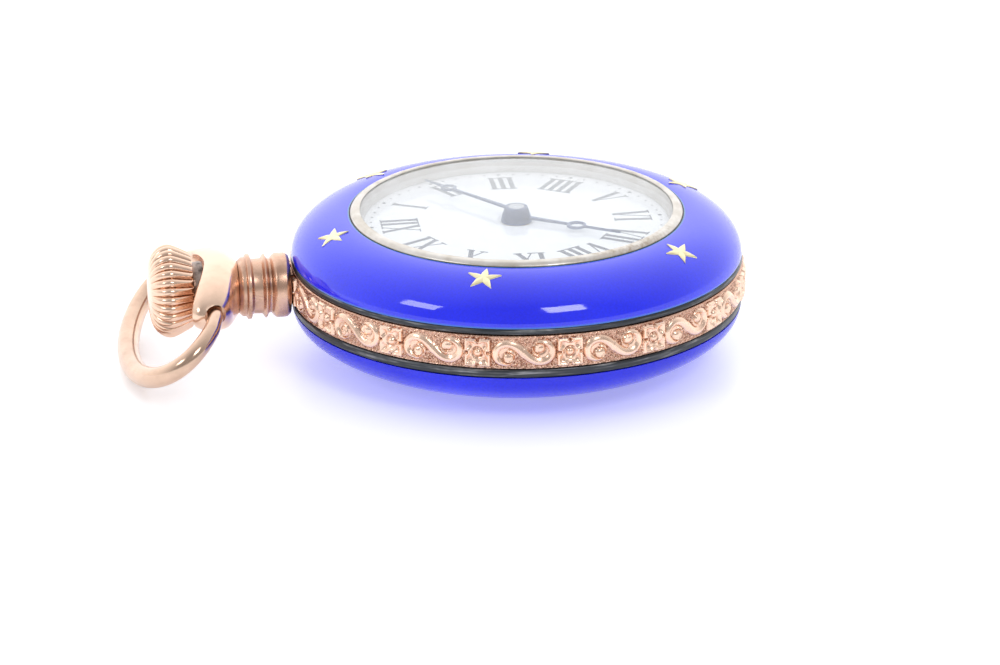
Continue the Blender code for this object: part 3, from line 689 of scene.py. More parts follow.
def make_band():
    """Gold band with sixteen flowers and lying scrolls in relief on a matted ground."""
    ground, top = BAND_R - 0.26, BAND_R + 0.01
    columns, rows = 116 * MOTIFS, 42
    pitch = TAU * CASE_R / MOTIFS
    u = np.arange(columns) / columns * pitch * MOTIFS
    v = np.linspace(-1, 1, rows) * (BAND_HALF - 0.03)
    uu, vv = np.meshgrid(u, v)
    height = relief(uu[:, :columns // MOTIFS], vv[:, :columns // MOTIFS], pitch)
    height = np.tile(height, (1, MOTIFS))
    rng = np.random.default_rng(7)
    matting = rng.normal(0.12, 0.13, height.shape)
    fade = np.clip((BAND_HALF - 0.03 - np.abs(vv)) / 0.08, 0, 1)
    fillet_line = np.exp(-((np.abs(vv) - (BAND_HALF - 0.08)) / 0.05) ** 2) * 0.30
    matting *= np.clip(1 - 4 * height, 0, 1)
    height = np.maximum(height + matting, fillet_line) * (0.35 + 0.65 * fade)
    radius = ground + (top - ground) * np.clip(height, -0.2, 1.05)
    angle = uu / CASE_R + math.radians(90 + MOTIF_TURN)
    verts = np.stack([radius * np.cos(angle), radius * np.sin(angle), vv + BAND_Z], -1)
    shell = verts.reshape(-1, 3)
    rim = []
    for z, r in ((BAND_HALF, ground - 0.05), (BAND_HALF, BAND_INNER_R),
                 (-BAND_HALF, BAND_INNER_R), (-BAND_HALF, ground - 0.05)):
        rim.append(np.stack([r * np.cos(angle[0]), r * np.sin(angle[0]),
                             np.full(columns, z + BAND_Z)], -1))
    shell = np.concatenate([shell] + rim)
    faces = grid_faces(rows + 4, columns, True)
    obj = piece("gold_band_fine", (shell, faces), CHASED, "case", ["gold_band"], 60.0)
    # the relief heights drive the chased gold's colour: the low ground is painted darker, partly
    # dirt and partly painted shade
    values = np.concatenate([np.clip(height * 2 - 0.15, 0, 1).ravel(), np.zeros(4 * columns)])
    attribute = obj.data.attributes.new("relief", "FLOAT", "POINT")
    attribute.data.foreach_set("value", values.astype(np.float32))


def make_back():
    flat = 5.5
    rim = back_high.z
    depth = rim - back_low.z
    half_r = CASE_R - flat

    def dish(cut, count):
        return [(flat + (half_r - cut) * math.cos(TAU / 4 * i / count),
                 rim - (depth - cut) * math.sin(TAU / 4 * i / count)) for i in range(count + 1)]

    outer, inner = dish(0.0, 40), dish(ENAMEL, 16)
    profile = [(AXIS, back_low.z)] + outer[::-1] + inner + [(AXIS, back_low.z + ENAMEL)]
    piece("back_enamel_fine", turned(profile, TURN_STEPS, False), BLUE, "back",
          ["back_enamel"])

    skin = ENAMEL + SEAM
    outer, inner = dish(skin, 16), dish(skin + LINING_WALL, 10)
    edge = fillet([(outer[0][0], rim + 0.02, 0), (CASE_R - 0.06, rim + 0.02),
                   (CASE_R + 0.02, rim + 0.12), (CASE_R + 0.03, cover_high.z - 0.1),
                   (CASE_R - 0.04, cover_high.z), (CASE_R - 1.0, cover_high.z, 0)], 0.04, False)
    profile = [(AXIS, outer[-1][1])] + outer[:0:-1] + [(outer[0][0], rim + 0.02)] + inner
    piece("back_lining", turned(profile + [(AXIS, inner[-1][1])], TURN_STEPS, False), LINING,
          "back")
    piece("back_metal_fine", turned(edge + [(inner[0][0], rim + 0.02)]), DARK, "back",
          ["back_cover"])


make_bezel()
make_crystal()
make_stars()
make_band()
make_back()


# ---------------------------------------------------------------- dial, numerals, hands

def stroke(x0, y0, x1, y1, width):
    """A straight pen stroke as a four-cornered outline."""
    along = Vector((x1 - x0, y1 - y0)).normalized()
    side = Vector((-along.y, along.x)) * width / 2
    return [(x0 + side.x, y0 + side.y), (x0 - side.x, y0 - side.y),
            (x1 - side.x, y1 - side.y), (x1 + side.x, y1 + side.y)]


def numeral(text):
    """Strokes of a Roman numeral, standing on y = 0 and centred on x = 0."""
    tall, thick, thin = 2.35, 0.30, 0.09
    widths = {"I": 0.58, "V": 1.35, "X": 1.35}
    x = -sum(widths[c] for c in text) / 2
    strokes = []
    for letter in text:
        w = widths[letter]
        mid = x + w / 2
        if letter == "I":
            strokes.append(stroke(mid, 0, mid, tall, thick))
            strokes += [stroke(x + 0.02, y, x + w - 0.02, y, thin) for y in (0.04, tall - 0.04)]
        elif letter == "V":
            strokes.append(stroke(x + 0.25, tall, mid, 0, thick))
            strokes.append(stroke(x + w - 0.2, tall, mid, 0, thin))
            strokes += [stroke(x, tall - 0.04, x + 0.5, tall - 0.04, thin),
                        stroke(x + w - 0.4, tall - 0.04, x + w, tall - 0.04, thin)]
        else:
            strokes.append(stroke(x + 0.25, tall, x + w - 0.25, 0, thick))
            strokes.append(stroke(x + w - 0.25, tall, x + 0.25, 0, thin))
            for y in (0.04, tall - 0.04):
                strokes += [stroke(x, y, x + 0.5, y, thin), stroke(x + w - 0.5, y, x + w, y, thin)]
        x += w
    return strokes


def dome(radius):
    """How far the dial's face rises above its rim."""
    return 0.12 * max(0.0, 1 - (radius / 9.4) ** 2)


def make_dial():
    low = dial_low.z
    profile = fillet([(0.95, low, 0), (DIAL_R, low), (DIAL_R, DIAL_TOP - 0.10, 0.05),
                      (9.45, DIAL_TOP, 0.1)]
                     + [(r, DIAL_TOP + dome(r), 0.01) for r in (8.5, 7.0, 5.0, 3.0, 1.25)]
                     + [(0.95, DIAL_TOP + 0.02)], 0.04)
    piece("dial_fine", turned(profile, 192), WHITE, "case", ["dial"])

    names = ("XII", "I", "II", "III", "IIII", "V", "VI", "VII", "VIII", "IX", "X", "XI")
    parts = []
    for hour, name in enumerate(names):
        turn = math.radians(DIAL_TURN - 30 * hour)
        for k, outline in enumerate(numeral(name)):
            part = prism([(x, y + NUMERAL_FOOT) for x, y in outline], 0, 0)
            part = [(x, y, DIAL_TOP + dome(math.hypot(x, y))
                     + (-0.03 if i < len(outline) else 0.012 + 0.001 * k))
                    for i, (x, y, _) in enumerate(part[0])], part[1]
            parts.append(moved(part, turn=turn))
    for minute in range(60):
        a = math.radians(90 + DIAL_TURN - 6 * minute)
        size = 0.13 if minute % 5 == 0 else 0.075
        parts.append(prism(circle(size, 12, (DOTS_R * math.cos(a), DOTS_R * math.sin(a))),
                           DIAL_TOP - 0.04, DIAL_TOP + dome(DOTS_R) + 0.012))
    piece("dial_numerals", merge(parts), INK, "case", [], 30.0)


def hand_loops(length, ring_at, ring_r, boss_r, bore):
    """Outline of a Breguet hand: boss, tapering blade, ring with an eccentric eye, fine tip."""
    root, neck, tip = 0.15, 0.075, 0.022
    outline = []
    start = math.asin(root / boss_r)
    for i in range(41):
        a = start + (TAU - 2 * start) * i / 40
        outline.append((boss_r * math.cos(a), boss_r * math.sin(a)))
    enter = math.pi - math.asin(neck / ring_r)
    leave = math.asin(neck * 0.9 / ring_r)
    lower = [(ring_at + ring_r * math.cos(-a), ring_r * math.sin(-a))
             for a in np.linspace(enter, leave, 16)]
    upper = [(x, -y) for x, y in reversed(lower)]
    outline += lower + [(length, -tip), (length, tip)] + upper
    eye = circle(ring_r * 0.72, 28, (ring_at + ring_r * 0.06, 0))
    return [outline, circle(bore, 32), eye]


def make_hand(name, node, mat, body, low, high, heading, sizes):
    loops = hand_loops(*sizes)
    c, s = math.cos(heading), math.sin(heading)
    loops = [[(x * c - y * s, x * s + y * c) for x, y in loop] for loop in loops]
    extruded(name, loops, low, high, mat, body, "blued_steel", [node], 0.02)


def heading_of(node):
    """Direction of the point of a CAD hand that is farthest from the middle."""
    verts = [Vector(v.co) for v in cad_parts[node].data.vertices]
    far = max(verts, key=lambda v: v.x ** 2 + v.y ** 2)
    return math.atan2(far.y, far.x), math.hypot(far.x, far.y) / MM


def make_hands():
    for node, body, ring_at, ring_r, boss, bore in (
            ("hour_hand", "hour", 4.1, 0.60, 0.86, 0.78),
            ("minute_hand", "minute", 6.1, 0.50, 0.78, 0.52)):
        low, high = extent(node)
        heading, length = heading_of(node)
        make_hand(node + "_fine", node, BLUED, body, low.z, high.z - 0.02, heading,
                  (length - 0.02, ring_at, ring_r, boss, bore))
    top = extent("cannon_pinion")[1].z
    low = extent("cannon_pinion")[0].z
    profile = fillet([(AXIS, top, 0), (0.50, top, 0.03), (0.52, top - 0.3),
                      (0.50, top - 0.95, 0), (0.62, low + 0.6), (0.62, low, 0), (AXIS, low, 0)],
                     0.04, False)
    piece("cannon_pinion_fine", turned(profile, 48, False), STEEL, "minute",
          ["cannon_pinion"])
    hand_top = extent("minute_hand")[1].z
    collar = fillet([(0.53, hand_top - 0.25, 0), (0.84, hand_top - 0.25), (0.70, top - 0.02),
                     (0.53, top - 0.02, 0)], 0.03)
    piece("minute_hand_collar", turned(collar, 48), BLUED, "minute")
    low, high = extent("hour_hand")
    foot = extent("dial")[1].z + 0.04
    collar = fillet([(0.78, foot, 0), (0.97, foot), (0.86, high.z + 0.08),
                     (0.78, high.z + 0.08, 0)], 0.03)
    piece("hour_hand_collar", turned(collar, 48), BLUED, "hour")


make_dial()
make_hands()


# ---------------------------------------------------------------- pendant, crown, bow

def make_pendant():
    start = band_high.y
    end = pendant_high.y
    outer = [(1.0, start + 0.02, 0), (1.80, start + 0.03, 0.05), (2.0, start + 0.25, 0.12),
             (2.0, start + 0.92, 0.15), (1.82, start + 1.10, 0.05), (1.66, start + 1.20, 0.05),
             (1.70, start + 1.36, 0.05), (1.99, start + 1.52, 0.04), (1.98, start + 1.60, 0.04),
             (1.72, start + 1.76, 0.06), (1.70, start + 2.32, 0.1), (1.82, start + 2.40, 0.04),
             (2.02, start + 2.46, 0.05), (2.02, start + 2.68, 0.05), (1.84, start + 2.76, 0.05),
             (1.84, start + 2.98, 0.08), (1.62, end, 0)]
    profile = fillet([(0.62, start - 2.3, 0), (1.04, start - 2.3, 0)] + outer + [(0.62, end, 0)],
                     0.05)
    piece("pendant_fine", turned_y(profile, 96, True), WORN, "case",
          ["pendant"])


def boss_section(y_side, y_saddle, half_x, half_z, count=96):
    ring = []
    for i in range(count):
        a = TAU * i / count
        y = y_saddle + (y_side - y_saddle) * abs(math.cos(a)) ** 1.5
        ring.append((half_x * math.cos(a), y, BAND_Z + half_z * math.sin(a)))
    return ring


def smooth_rows(keys, count):
    """Values between key rows along a smooth curve through them."""
    keys = np.asarray(keys, float)
    spots = np.linspace(0, len(keys) - 1, count)
    rows = []
    for t in spots:
        i = min(int(t), len(keys) - 2)
        f = t - i
        p0, p1 = keys[max(i - 1, 0)], keys[i]
        p2, p3 = keys[i + 1], keys[min(i + 2, len(keys) - 1)]
        rows.append(0.5 * (2 * p1 + (p2 - p0) * f + (2 * p0 - 5 * p1 + 4 * p2 - p3) * f ** 2
                           + (3 * p1 - p0 - 3 * p2 + p3) * f ** 3))
    return rows


def make_boss():
    """Head of the pendant: a flared oval with an ear at each side and a deep socket."""
    keys = [(17.43, 17.43, 1.66, 1.6), (17.75, 17.70, 2.8, 1.78), (18.3, 18.1, 4.3, 1.98),
            (19.1, 18.6, 5.0, 2.05), (20.1, 19.15, 5.06, 1.98), (20.58, 19.40, 4.72, 1.88)]
    rings = [boss_section(*row) for row in smooth_rows(keys, 31)]
    rings += [boss_section(20.60, 19.44, 4.5, 1.80), boss_section(20.5, 19.42, 4.2, 1.76),
              boss_section(20.1, 19.40, 3.6, 1.74), boss_section(19.6, 19.36, 2.6, 1.72)]
    rings += [[(1.35 * math.cos(TAU * i / 96), y, BAND_Z + 1.35 * math.sin(TAU * i / 96))
               for i in range(96)] for y in (19.0, 17.44)]
    verts = [p for ring in rings for p in ring]
    obj = piece("bow_boss_fine", (verts, grid_faces(len(rings), 96, True)), PALE_GOLD, "case",
                ["bow_boss"])
    for side in (-1, 1):
        bpy.ops.mesh.primitive_cylinder_add(vertices=48, radius=0.66 * MM, depth=1.6 * MM,
                                            location=(side * 4.9 * MM, PIVOT_Y * MM, BAND_Z * MM),
                                            rotation=(0, math.pi / 2, 0))
        tool = bpy.context.object
        cut = obj.modifiers.new("ear", "BOOLEAN")
        cut.object = tool
        cut.operation = "DIFFERENCE"
        bpy.context.view_layer.objects.active = obj
        bpy.ops.object.modifier_apply(modifier="ear")
        bpy.data.objects.remove(tool, do_unlink=True)
    obj.data.shade_smooth()
    obj.data.set_sharp_from_angle(angle=math.radians(40))


def make_crown():
    """Thirty rounded flutes that swell to a ridge and run on over the domed end."""
    back = crown_low.y
    keys = [(back, 2.22, 0.05), (back + 0.12, 2.34, 0.18), (back + 0.7, 2.64, 0.25),
            (back + 1.12, 2.83, 0.24), (back + 1.38, 2.885, 0.22), (back + 1.62, 2.86, 0.24),
            (back + 1.95, 2.72, 0.25),
            (back + 2.3, 2.40, 0.22), (back + 2.55, 1.9, 0.12), (back + 2.66, 1.3, 0.03)]
    rows = smooth_rows(keys, 41)
    rows = [(back + 1.1, 1.28, 0), (back + 0.06, 1.28, 0), (back, 1.4, 0)] + rows
    rows += [(crown_high.y, 0.6, 0), (crown_high.y + 0.01, AXIS, 0)]
    count = FLUTES * 12
    verts = []
    for y, r, depth in rows:
        for i in range(count):
            a = TAU * i / count
            wave = abs(math.sin(FLUTES / 2 * a)) ** 0.55
            reach = r - depth * (1 - wave)
            verts.append((reach * math.cos(a), y, BAND_Z + reach * math.sin(a)))
    # the paler gold here is partly painted light against the shade between the flutes
    piece("crown_fine", (verts, capped(len(rows), count)), PALE_GOLD, "crown",
          ["crown"], 50.0)
    profile = fillet([(AXIS, core_low.y, 0), (1.1, core_low.y), (1.2, core_low.y + 0.2),
                      (1.2, 19.5), (1.70, 19.56), (1.74, 19.75), (1.66, back - 0.02), (1.2, back),
                      (1.2, core_high.y, 0), (AXIS, core_high.y, 0)], 0.05, False)
    piece("crown_core_fine", turned_y(profile, 64), GREY, "crown",
          ["crown_core"])


def make_bow():
    """Oval ring of round wire, fattest opposite its ends, which turn in to the ears."""
    wire = 0.69
    half_w, half_d, centre = 8.0, 3.77, 2.73
    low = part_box("bow")[0][2] / MM
    reach = centre + half_d
    tilt = math.asin((BAND_Z - low - wire) / reach)
    first = math.acos(-centre / half_d)
    path = []
    for i in range(145):
        a = -first + 2 * first * i / 144
        path.append((half_w * math.sin(a), centre + half_d * math.cos(a)))
    ends = [(-4.4, 0.0), (-4.9, 0.0), (-5.2, 0.03)]
    path = ends + path[5:-5] + [(-x, d) for x, d in reversed(ends)]
    path = np.array(smooth_rows(path, 260))
    d_y, d_z = math.cos(tilt), -math.sin(tilt)
    centres = [Vector((x, PIVOT_Y + d * d_y, BAND_Z + d * d_z)) for x, d in path]
    normal = Vector((0, math.sin(tilt), math.cos(tilt)))
    verts, sides = [], 40
    for i, point in enumerate(centres):
        ahead = (centres[min(i + 1, len(centres) - 1)] - centres[max(i - 1, 0)]).normalized()
        across = normal.cross(ahead).normalized()
        radius = wire * (0.68 + 0.32 * min(1.0, max(0.0, path[i][1]) / reach) ** 0.8)
        for j in range(sides):
            a = TAU * j / sides
            verts.append(point + across * radius * math.cos(a) + normal * radius * math.sin(a))
    piece("bow_fine", (verts, capped(len(centres), sides)), GOLD, "bow", ["bow"])


make_pendant()
make_boss()
make_crown()
make_bow()


# ---------------------------------------------------------------- case inside and hinges

def make_case_inside():
    """Case middle behind the band, and the gilt inner cover."""
    ring = [(12.20, 2.00), (12.20, 1.06, 0), (13.27, 1.06), (13.27, -1.06), (12.35, -1.06, 0),
            (12.35, -1.80), (11.60, -1.80), (11.60, 0.75, 0), (10.90, 0.75), (10.90, 1.09),
            (11.25, 1.09, 0), (11.25, 2.00)]
    piece("case_middle_fine", turned(fillet([(p[0], p[1] + BAND_Z, *p[2:]) for p in ring], 0.05)),
          GOLD, "case", ["case_middle"])

    low, high = extent("cuvette")
    flat, thick, edge = 5.0, 0.25, 12.35
    rim, depth = low.z + 1.93, 1.93

    def dish(cut, count=24):
        return [(flat + (12.4 - flat - cut) * math.cos(TAU / 4 * i / count),
                 rim - (depth - cut) * math.sin(TAU / 4 * i / count)) for i in range(count + 1)]

    outer, inner = dish(0.0), dish(thick)
    rings = [(r, low.z + 0.012 * (k % 2)) for k, r in enumerate((4.7, 4.64, 4.3, 4.24, 3.9))]
    profile = [(AXIS, low.z)] + rings[::-1] + outer[::-1]
    profile += [(outer[0][0], high.z - 0.02), (inner[0][0], high.z - 0.02)] + inner
    piece("cuvette_fine", turned(profile + [(AXIS, low.z + thick)], 192, False), GOLD, "cuvette",
          ["cuvette"])


def make_hinges():
    """Knuckles with eased ends, and pins with domed heads."""
    rows = {"bezel_hinge_pin": (("bezel_knuckle", "bezel"), ("case_knuckle_1", "case"),
                                ("case_knuckle_2", "case")),
            "back_hinge_pin": (("back_knuckle", "back"), ("cuvette_knuckle", "cuvette"),
                               ("case_knuckle_3", "case"), ("case_knuckle_4", "case"))}
    for pin, knuckles in rows.items():
        centre = (HINGE_X, 0, HINGE_Z[pin])
        for node, body in knuckles:
            low, high = extent(node)
            profile = fillet([(0.2, low.y), (HINGE_R, low.y), (HINGE_R, high.y), (0.2, high.y)],
                             0.05)
            piece(node + "_fine", turned(profile, 40, True, "Y", centre), GOLD, body,
                  [node])
        low, high = extent(pin)
        ends = [(AXIS, low.y - 0.02), (0.10, low.y), (0.165, low.y + 0.07), (0.165, high.y - 0.07),
                (0.10, high.y), (AXIS, high.y + 0.02)]
        piece(pin + "_fine", turned(ends, 24, False, "Y", centre), STEEL, "case", [pin])


make_case_inside()
make_hinges()


# ---------------------------------------------------------------- movement

BARREL = (-3.2, 3.3)
THIRD = (3.2, 1.0)
FOURTH = (3.8, -1.6)
ESCAPE = (3.2, -3.95)
BALANCE = (-1.9, -6.2)
CROWN_WHEEL = (-0.05, 6.72)
BRIDGE_LOW, BRIDGE_HIGH, PLATE_LOW = 2.70, 3.50, 5.95


def arc(radius, start, end, count, centre=(0, 0)):
    return [(centre[0] + radius * math.cos(math.radians(start + (end - start) * i / count)),
             centre[1] + radius * math.sin(math.radians(start + (end - start) * i / count)))
            for i in range(count + 1)]


def toothed(tip, teeth, depth, lean=0.0):
    """Outline of a wheel with rounded teeth, or hooked ones where they lean."""
    shape = ((0.0, 0.0), (0.14, 0.0), (0.25, 0.55), (0.33, 0.9), (0.42, 1.0), (0.51, 0.9),
             (0.59, 0.55), (0.70, 0.0))
    points = []
    for i in range(teeth):
        for share, rise in shape:
            a = TAU * (i + share + lean * rise) / teeth
            r = tip - depth * (1 - rise)
            points.append((r * math.cos(a), r * math.sin(a)))
    return points


def windows(arms, hub, rim, width):
    """Openings between the arms of a crossed-out wheel."""
    loops = []
    for i in range(arms):
        start, end = 360 * i / arms, 360 * (i + 1) / arms
        inner, outer = math.degrees(width / hub / 2), math.degrees(width / rim / 2)
        loops.append(arc(rim, start + outer, end - outer, 14)
                     + arc(hub, end - inner, start + inner, 6))
    return loops


def leaves(radius, count, low, high, at):
    """A pinion: a short prism with rounded leaves."""
    return prism([(x + at[0], y + at[1]) for x, y in toothed(radius, count, radius * 0.34)],
                 low, high)


def make_wheel(node, body, at, disc, tip, teeth, depth, mat, slot, arms, pinion, staff, lean=0.0):
    """A crossed-out wheel on a steel staff with its pinion."""
    hub, rim = tip * 0.24, tip - depth - tip * 0.12
    loops = [toothed(tip, teeth, depth, lean)] + windows(arms, hub, rim, tip * 0.1)
    loops.append(circle(staff[0] * 0.9, 20))
    extruded(node + "_fine", loops, *disc, mat, body, slot, [node], 0.015, at)
    thick, low, high = staff
    pivot = thick * 0.5
    shaft = fillet([(AXIS, low, 0), (pivot, low), (pivot, low + 0.25), (thick, low + 0.3),
                    (thick, high - 0.3), (pivot, high - 0.25), (pivot, high), (AXIS, high, 0)],
                   0.02, False)
    parts = [turned_at(at, shaft, 24), leaves(*pinion, at)]
    piece(node + "_staff", merge(parts), STEEL, body, [], 30.0)


def make_train():
    low, high = BRIDGE_HIGH + 0.02, PLATE_LOW - 0.02
    make_wheel("centre_wheel", "centre", (0, 0), (3.95, 4.12), 2.8, 72, 0.16, WHEEL, "brass", 5,
               (0.85, 10, 5.3, 5.9), (0.36, low, 7.0))
    make_wheel("third_wheel", "third", THIRD, (4.70, 4.86), 2.2, 60, 0.15, WHEEL, "brass", 5,
               (0.42, 8, 3.75, 4.3), (0.18, low, high))
    make_wheel("fourth_wheel", "fourth", FOURTH, (5.20, 5.36), 2.0, 60, 0.14, WHEEL, "brass", 5,
               (0.36, 8, 4.45, 5.05), (0.16, low, high))
    make_wheel("escape_wheel", "escape", ESCAPE, (4.70, 4.86), 1.4, 15, 0.34, STEEL, "steel", 4,
               (0.30, 7, 5.0, 5.55), (0.13, low, high), 0.35)


def screw(at, radius, low, high, name, body="case"):
    """A blued screw with a polished slotted head, seen from below."""
    slot, deep, count = radius * 0.16, (high - low) * 0.45, 40
    ring = circle(radius, count)
    verts = []
    for share, z in ((1.0, high), (1.0, low + 0.05), (0.9, low)):
        verts += [(x * share, y * share, z) for x, y in ring]
    for share, z in ((0.9, low), (0.9, low + deep)):
        verts += [(x * share, max(-slot, min(slot, y * share)), z) for x, y in ring]
    piece(name, moved((verts, capped(5, count)), (*at, 0)), BLUED, body, [], 30.0)


def jewel(at, low, name):
    """A ruby bearing in a gold setting, let into a bridge from below."""
    setting = fillet([(0.30, low - 0.015), (0.44, low - 0.015), (0.44, low + 0.2),
                      (0.30, low + 0.2)], 0.03)
    piece(name + "_setting", turned_at(at, setting, closed=True), FOIL, "case")
    stone = fillet([(0.07, low - 0.005), (0.30, low - 0.03), (0.30, low + 0.2), (0.07, low + 0.2)],
                   0.03)
    piece(name + "_ruby", turned_at(at, stone, closed=True), RUBY, "case")


def make_bridges():
    barrel = arc(BRIDGE_R, 18, 162, 60) + [(-9.0, 1.2), (-3.0, 0.6), (0.0, 1.2), (4.5, 3.0)]
    train = arc(BRIDGE_R, -42, 12, 28) + [(4.6, 2.1), (0.6, 0.7), (-0.8, 0.3), (-0.8, -0.9),
                                      (1.0, -1.6), (2.4, -4.6), (4.2, -5.6)]
    cock = arc(BRIDGE_R, 215, 240, 14) + arc(0.9, -60, 120, 20, BALANCE)
    rows = (("barrel_bridge", barrel, [(-9.0, 4.2), (7.6, 5.8)], [circle(0.55, 32, BARREL)]),
            ("train_bridge", train, [(8.9, -0.6), (7.2, -5.6)], []),
            ("balance_cock", cock, [(-7.6, -6.9)], []))
    for node, outline, pillars, holes in rows:
        extruded(node + "_fine", [outline] + holes, BRIDGE_LOW, BRIDGE_HIGH, STRIPED, "case",
                 "brass", [node], 0.05)
        posts = []
        for k, at in enumerate(pillars, 1):
            posts.append(turned_at(at, [(AXIS, BRIDGE_HIGH - 0.1), (0.55, BRIDGE_HIGH - 0.1),
                                        (0.55, PLATE_LOW - 0.03), (AXIS, PLATE_LOW - 0.03)]))
            screw(at, 0.62, BRIDGE_LOW - 0.16, BRIDGE_LOW + 0.1, f"{node}_screw_{k}")
        piece(node + "_pillars", merge(posts), GILT, "case")
    extruded("pallet_bridge_fine", [[(0.9, -4.3), (4.6, -7.0), (5.3, -6.3), (2.2, -4.4),
                                     (1.5, -4.1)]], 5.15, 5.45, GILT, "case", "brass",
             ["pallet_bridge"], 0.03)
    for name, at in (("centre", (0, 0)), ("third", THIRD), ("fourth", FOURTH),
                     ("escape", ESCAPE), ("balance", BALANCE)):
        jewel(at, BRIDGE_LOW, name + "_jewel")
    plate = fillet([(11.2, 7.0), (11.2, 5.95), (0.9, 5.95), (0.9, 7.0, 0), (9.3, 7.0, 0),
                    (9.3, 7.68), (10.2, 7.68), (10.2, 7.0, 0)], 0.06)
    piece("main_plate_fine", turned(plate, 192), GILT, "case", ["main_plate"])


def make_winding():
    """Ratchet wheel, crown wheel and click on the barrel bridge."""
    for node, body, at, tip, teeth in (("ratchet_wheel", "ratchet", BARREL, 2.6, 40),
                                       ("crown_wheel", "crown_wheel", CROWN_WHEEL, 2.0, 32)):
        extruded(node + "_fine", [toothed(tip, teeth, 0.24), circle(0.5, 24)], 2.3, 2.62,
                 STEEL, body, "steel", [node], 0.03, at)
        screw(at, 0.72, 2.16, 2.62, node + "_screw", body)
    click = [(-6.9, 1.5), (-6.3, 1.0), (-5.3, 1.05), (-5.05, 1.35), (-5.9, 1.5), (-6.4, 2.0),
             (-6.9, 2.0)]
    extruded("click_fine", [click], 2.3, 2.6, STEEL, "case", "steel", ["click"], 0.04)
    screw((-6.4, 1.5), 0.33, 2.2, 2.4, "click_screw")


def make_balance():
    """Balance with two arms and timing screws, and its flat hairspring."""
    rim = turned_at(BALANCE, fillet([(3.3, 4.15), (3.3, 3.75), (2.97, 3.75), (2.97, 4.15)], 0.04),
                    96, True)
    arms = prism([(x + BALANCE[0], y + BALANCE[1]) for x, y in
                  ((-3.05, -0.24), (-0.5, -0.14), (0.5, -0.14), (3.05, -0.24), (3.05, 0.24),
                   (0.5, 0.14), (-0.5, 0.14), (-3.05, 0.24))], 3.86, 4.04)
    hub = turned_at(BALANCE, [(AXIS, 3.8), (0.5, 3.8), (0.5, 4.1), (AXIS, 4.1)])
    piece("balance_wheel_fine", merge([rim, arms, hub]), WHEEL, "balance",
          ["balance_wheel"], 30.0)
    heads = []
    for i in range(14):
        a = TAU * (i + 0.5) / 14
        x, y = 3.22 * math.cos(a), 3.22 * math.sin(a)
        heads.append(turned_at((BALANCE[0] + x, BALANCE[1] + y),
                               [(AXIS, 3.72), (0.06, 3.70), (0.06, 4.20), (AXIS, 4.18)], 12))
    piece("balance_screws", merge(heads), FOIL, "balance")
    staff = fillet([(AXIS, 3.53), (0.08, 3.53), (0.08, 3.7), (0.2, 3.75), (0.2, 4.6, 0),
                    (0.42, 4.66), (0.42, 4.86), (0.2, 4.9, 0), (0.2, 5.6), (0.08, 5.7),
                    (0.08, 5.9), (AXIS, 5.9)], 0.02, False)
    piece("balance_staff", turned_at(BALANCE, staff), STEEL, "balance")
    turns, per_turn, half_w, half_h = 9, 40, 0.014, 0.05
    verts = []
    for i in range(turns * per_turn + 1):
        a = TAU * i / per_turn
        r = 0.47 + 1.45 * i / (turns * per_turn)
        for dr, dz in ((-half_w, -half_h), (half_w, -half_h), (half_w, half_h), (-half_w, half_h)):
            verts.append((BALANCE[0] + (r + dr) * math.cos(a), BALANCE[1] + (r + dr) * math.sin(a),
                          3.66 + dz))
    piece("hairspring_fine", (verts, capped(len(verts) // 4, 4)), BLUED, "case",
          ["hairspring"], 30.0)


make_train()
make_bridges()
make_winding()
make_balance()

KEPT = {
    GILT: ("barrel", "barrel_lid"),
    WHEEL: ("hour_wheel", "minute_wheel"),
    STEEL: ("winding_stem", "winding_pinion", "clutch_wheel", "barrel_arbor", "mainspring",
            "pallet_fork", "case_screw_1", "case_screw_2"),
}
for finish, nodes in KEPT.items():
    for node in nodes:
        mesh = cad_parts[node].data
        mesh.materials.clear()
        mesh.materials.append(finish)


# ---------------------------------------------------------------- stage, light and camera

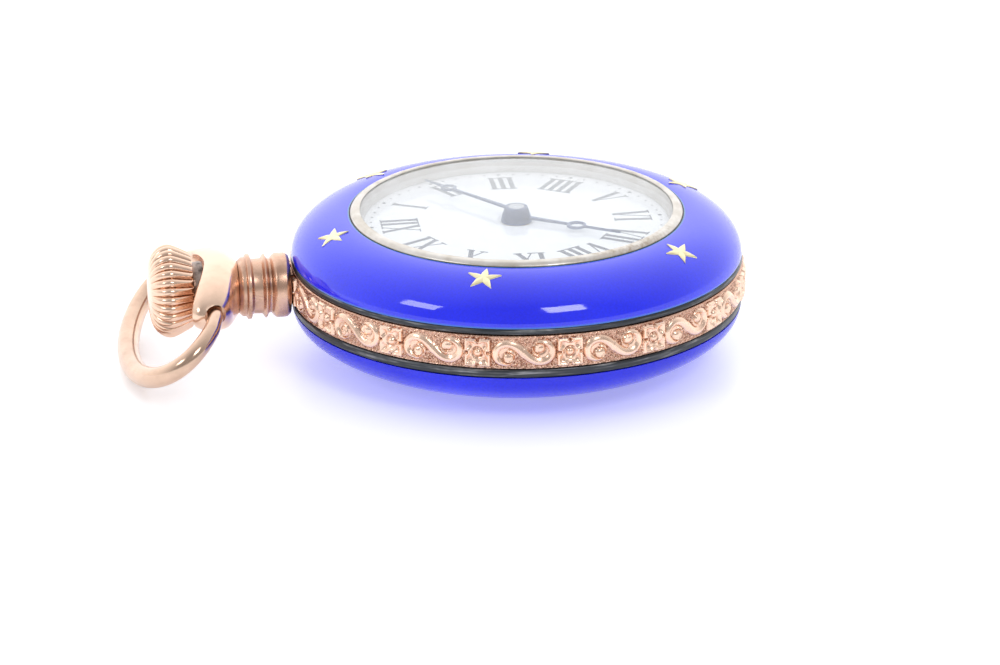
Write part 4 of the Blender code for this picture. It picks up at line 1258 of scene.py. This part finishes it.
def make_stage():
    bpy.ops.mesh.primitive_plane_add(size=6.0, location=(0, 0, -0.00002))
    floor = bpy.context.object
    floor.name = "studio_floor"
    floor.data.materials.append(floor_material())
    # the world is brighter on the far side, to the right, and a touch cooler overhead
    world = bpy.data.worlds.new("studio")
    bpy.context.scene.world = world
    world.use_nodes = True
    tree = world.node_tree
    back = tree.nodes["Background"]
    coords = tree.nodes.new("ShaderNodeTexCoord")
    split = tree.nodes.new("ShaderNodeSeparateXYZ")
    ramp = tree.nodes.new("ShaderNodeValToRGB")
    for stop, colour in zip(ramp.color_ramp.elements, ((1.0, 1.0, 1.0, 1), (0.97, 0.98, 1.0, 1))):
        stop.color = colour
    tree.links.new(coords.outputs["Generated"], split.inputs[0])
    tree.links.new(split.outputs["Z"], ramp.inputs[0])
    side = tree.nodes.new("ShaderNodeMapRange")
    for name, value in (("From Min", -0.6), ("From Max", 0.8), ("To Min", 0.38), ("To Max", 1.3)):
        side.inputs[name].default_value = value
    tree.links.new(split.outputs["X"], side.inputs["Value"])
    shaded = tree.nodes.new("ShaderNodeMix")
    shaded.data_type = "RGBA"
    shaded.blend_type = "MULTIPLY"
    shaded.inputs[0].default_value = 1.0
    tree.links.new(ramp.outputs[0], shaded.inputs[6])
    tree.links.new(side.outputs["Result"], shaded.inputs[7])
    tree.links.new(shaded.outputs[2], back.inputs[0])
    back.inputs[1].default_value = 1.2


def softbox(name, place, target, size, power):
    data = bpy.data.lights.new(name, "AREA")
    data.shape = "RECTANGLE"
    data.size, data.size_y = size
    data.energy = power
    light = placed(name, data)
    light.location = place
    heading = Vector(target) - Vector(place)
    light.rotation_euler = heading.to_track_quat("-Z", "Y").to_euler()


def make_camera():
    """Long lens, looking over IX with the pendant to the left."""
    azimuth, elevation, distance = math.radians(261.1), math.radians(20.08), 0.252
    yaw, pitch, roll = math.radians(0.235), math.radians(-0.865), math.radians(0.115)
    target = Vector((0, 0, BAND_Z * MM))
    away = Vector((math.sin(azimuth) * math.cos(elevation),
                   -math.cos(azimuth) * math.cos(elevation), math.sin(elevation)))
    ahead = -away
    right = ahead.cross(Vector((0, 0, 1))).normalized()
    up = right.cross(ahead)
    for axis_of, angle in ((lambda: up, yaw), (lambda: right, pitch), (lambda: ahead, roll)):
        turn = Quaternion(axis_of(), angle)
        ahead, right, up = turn @ ahead, turn @ right, turn @ up
    camera = placed("camera", bpy.data.cameras.new("camera"))
    camera.matrix_world = Matrix.Translation(target + away * distance) @ Matrix(
        (right, up, -ahead)).transposed().to_4x4()
    camera.data.sensor_width = 36.0
    camera.data.lens = 145.63
    camera.data.clip_start = 0.01
    camera.data.clip_end = 20.0
    bpy.context.scene.camera = camera


make_stage()
softbox("right_softbox", (-0.347, -0.120, 0.345), (0, 0, 0.005), (0.15, 0.14), 0.42)
softbox("left_softbox", (-0.192, 0.366, 0.286), (0, 0, 0.005), (0.15, 0.12), 0.28)
make_camera()
bpy.context.scene.view_settings.view_transform = "Standard"
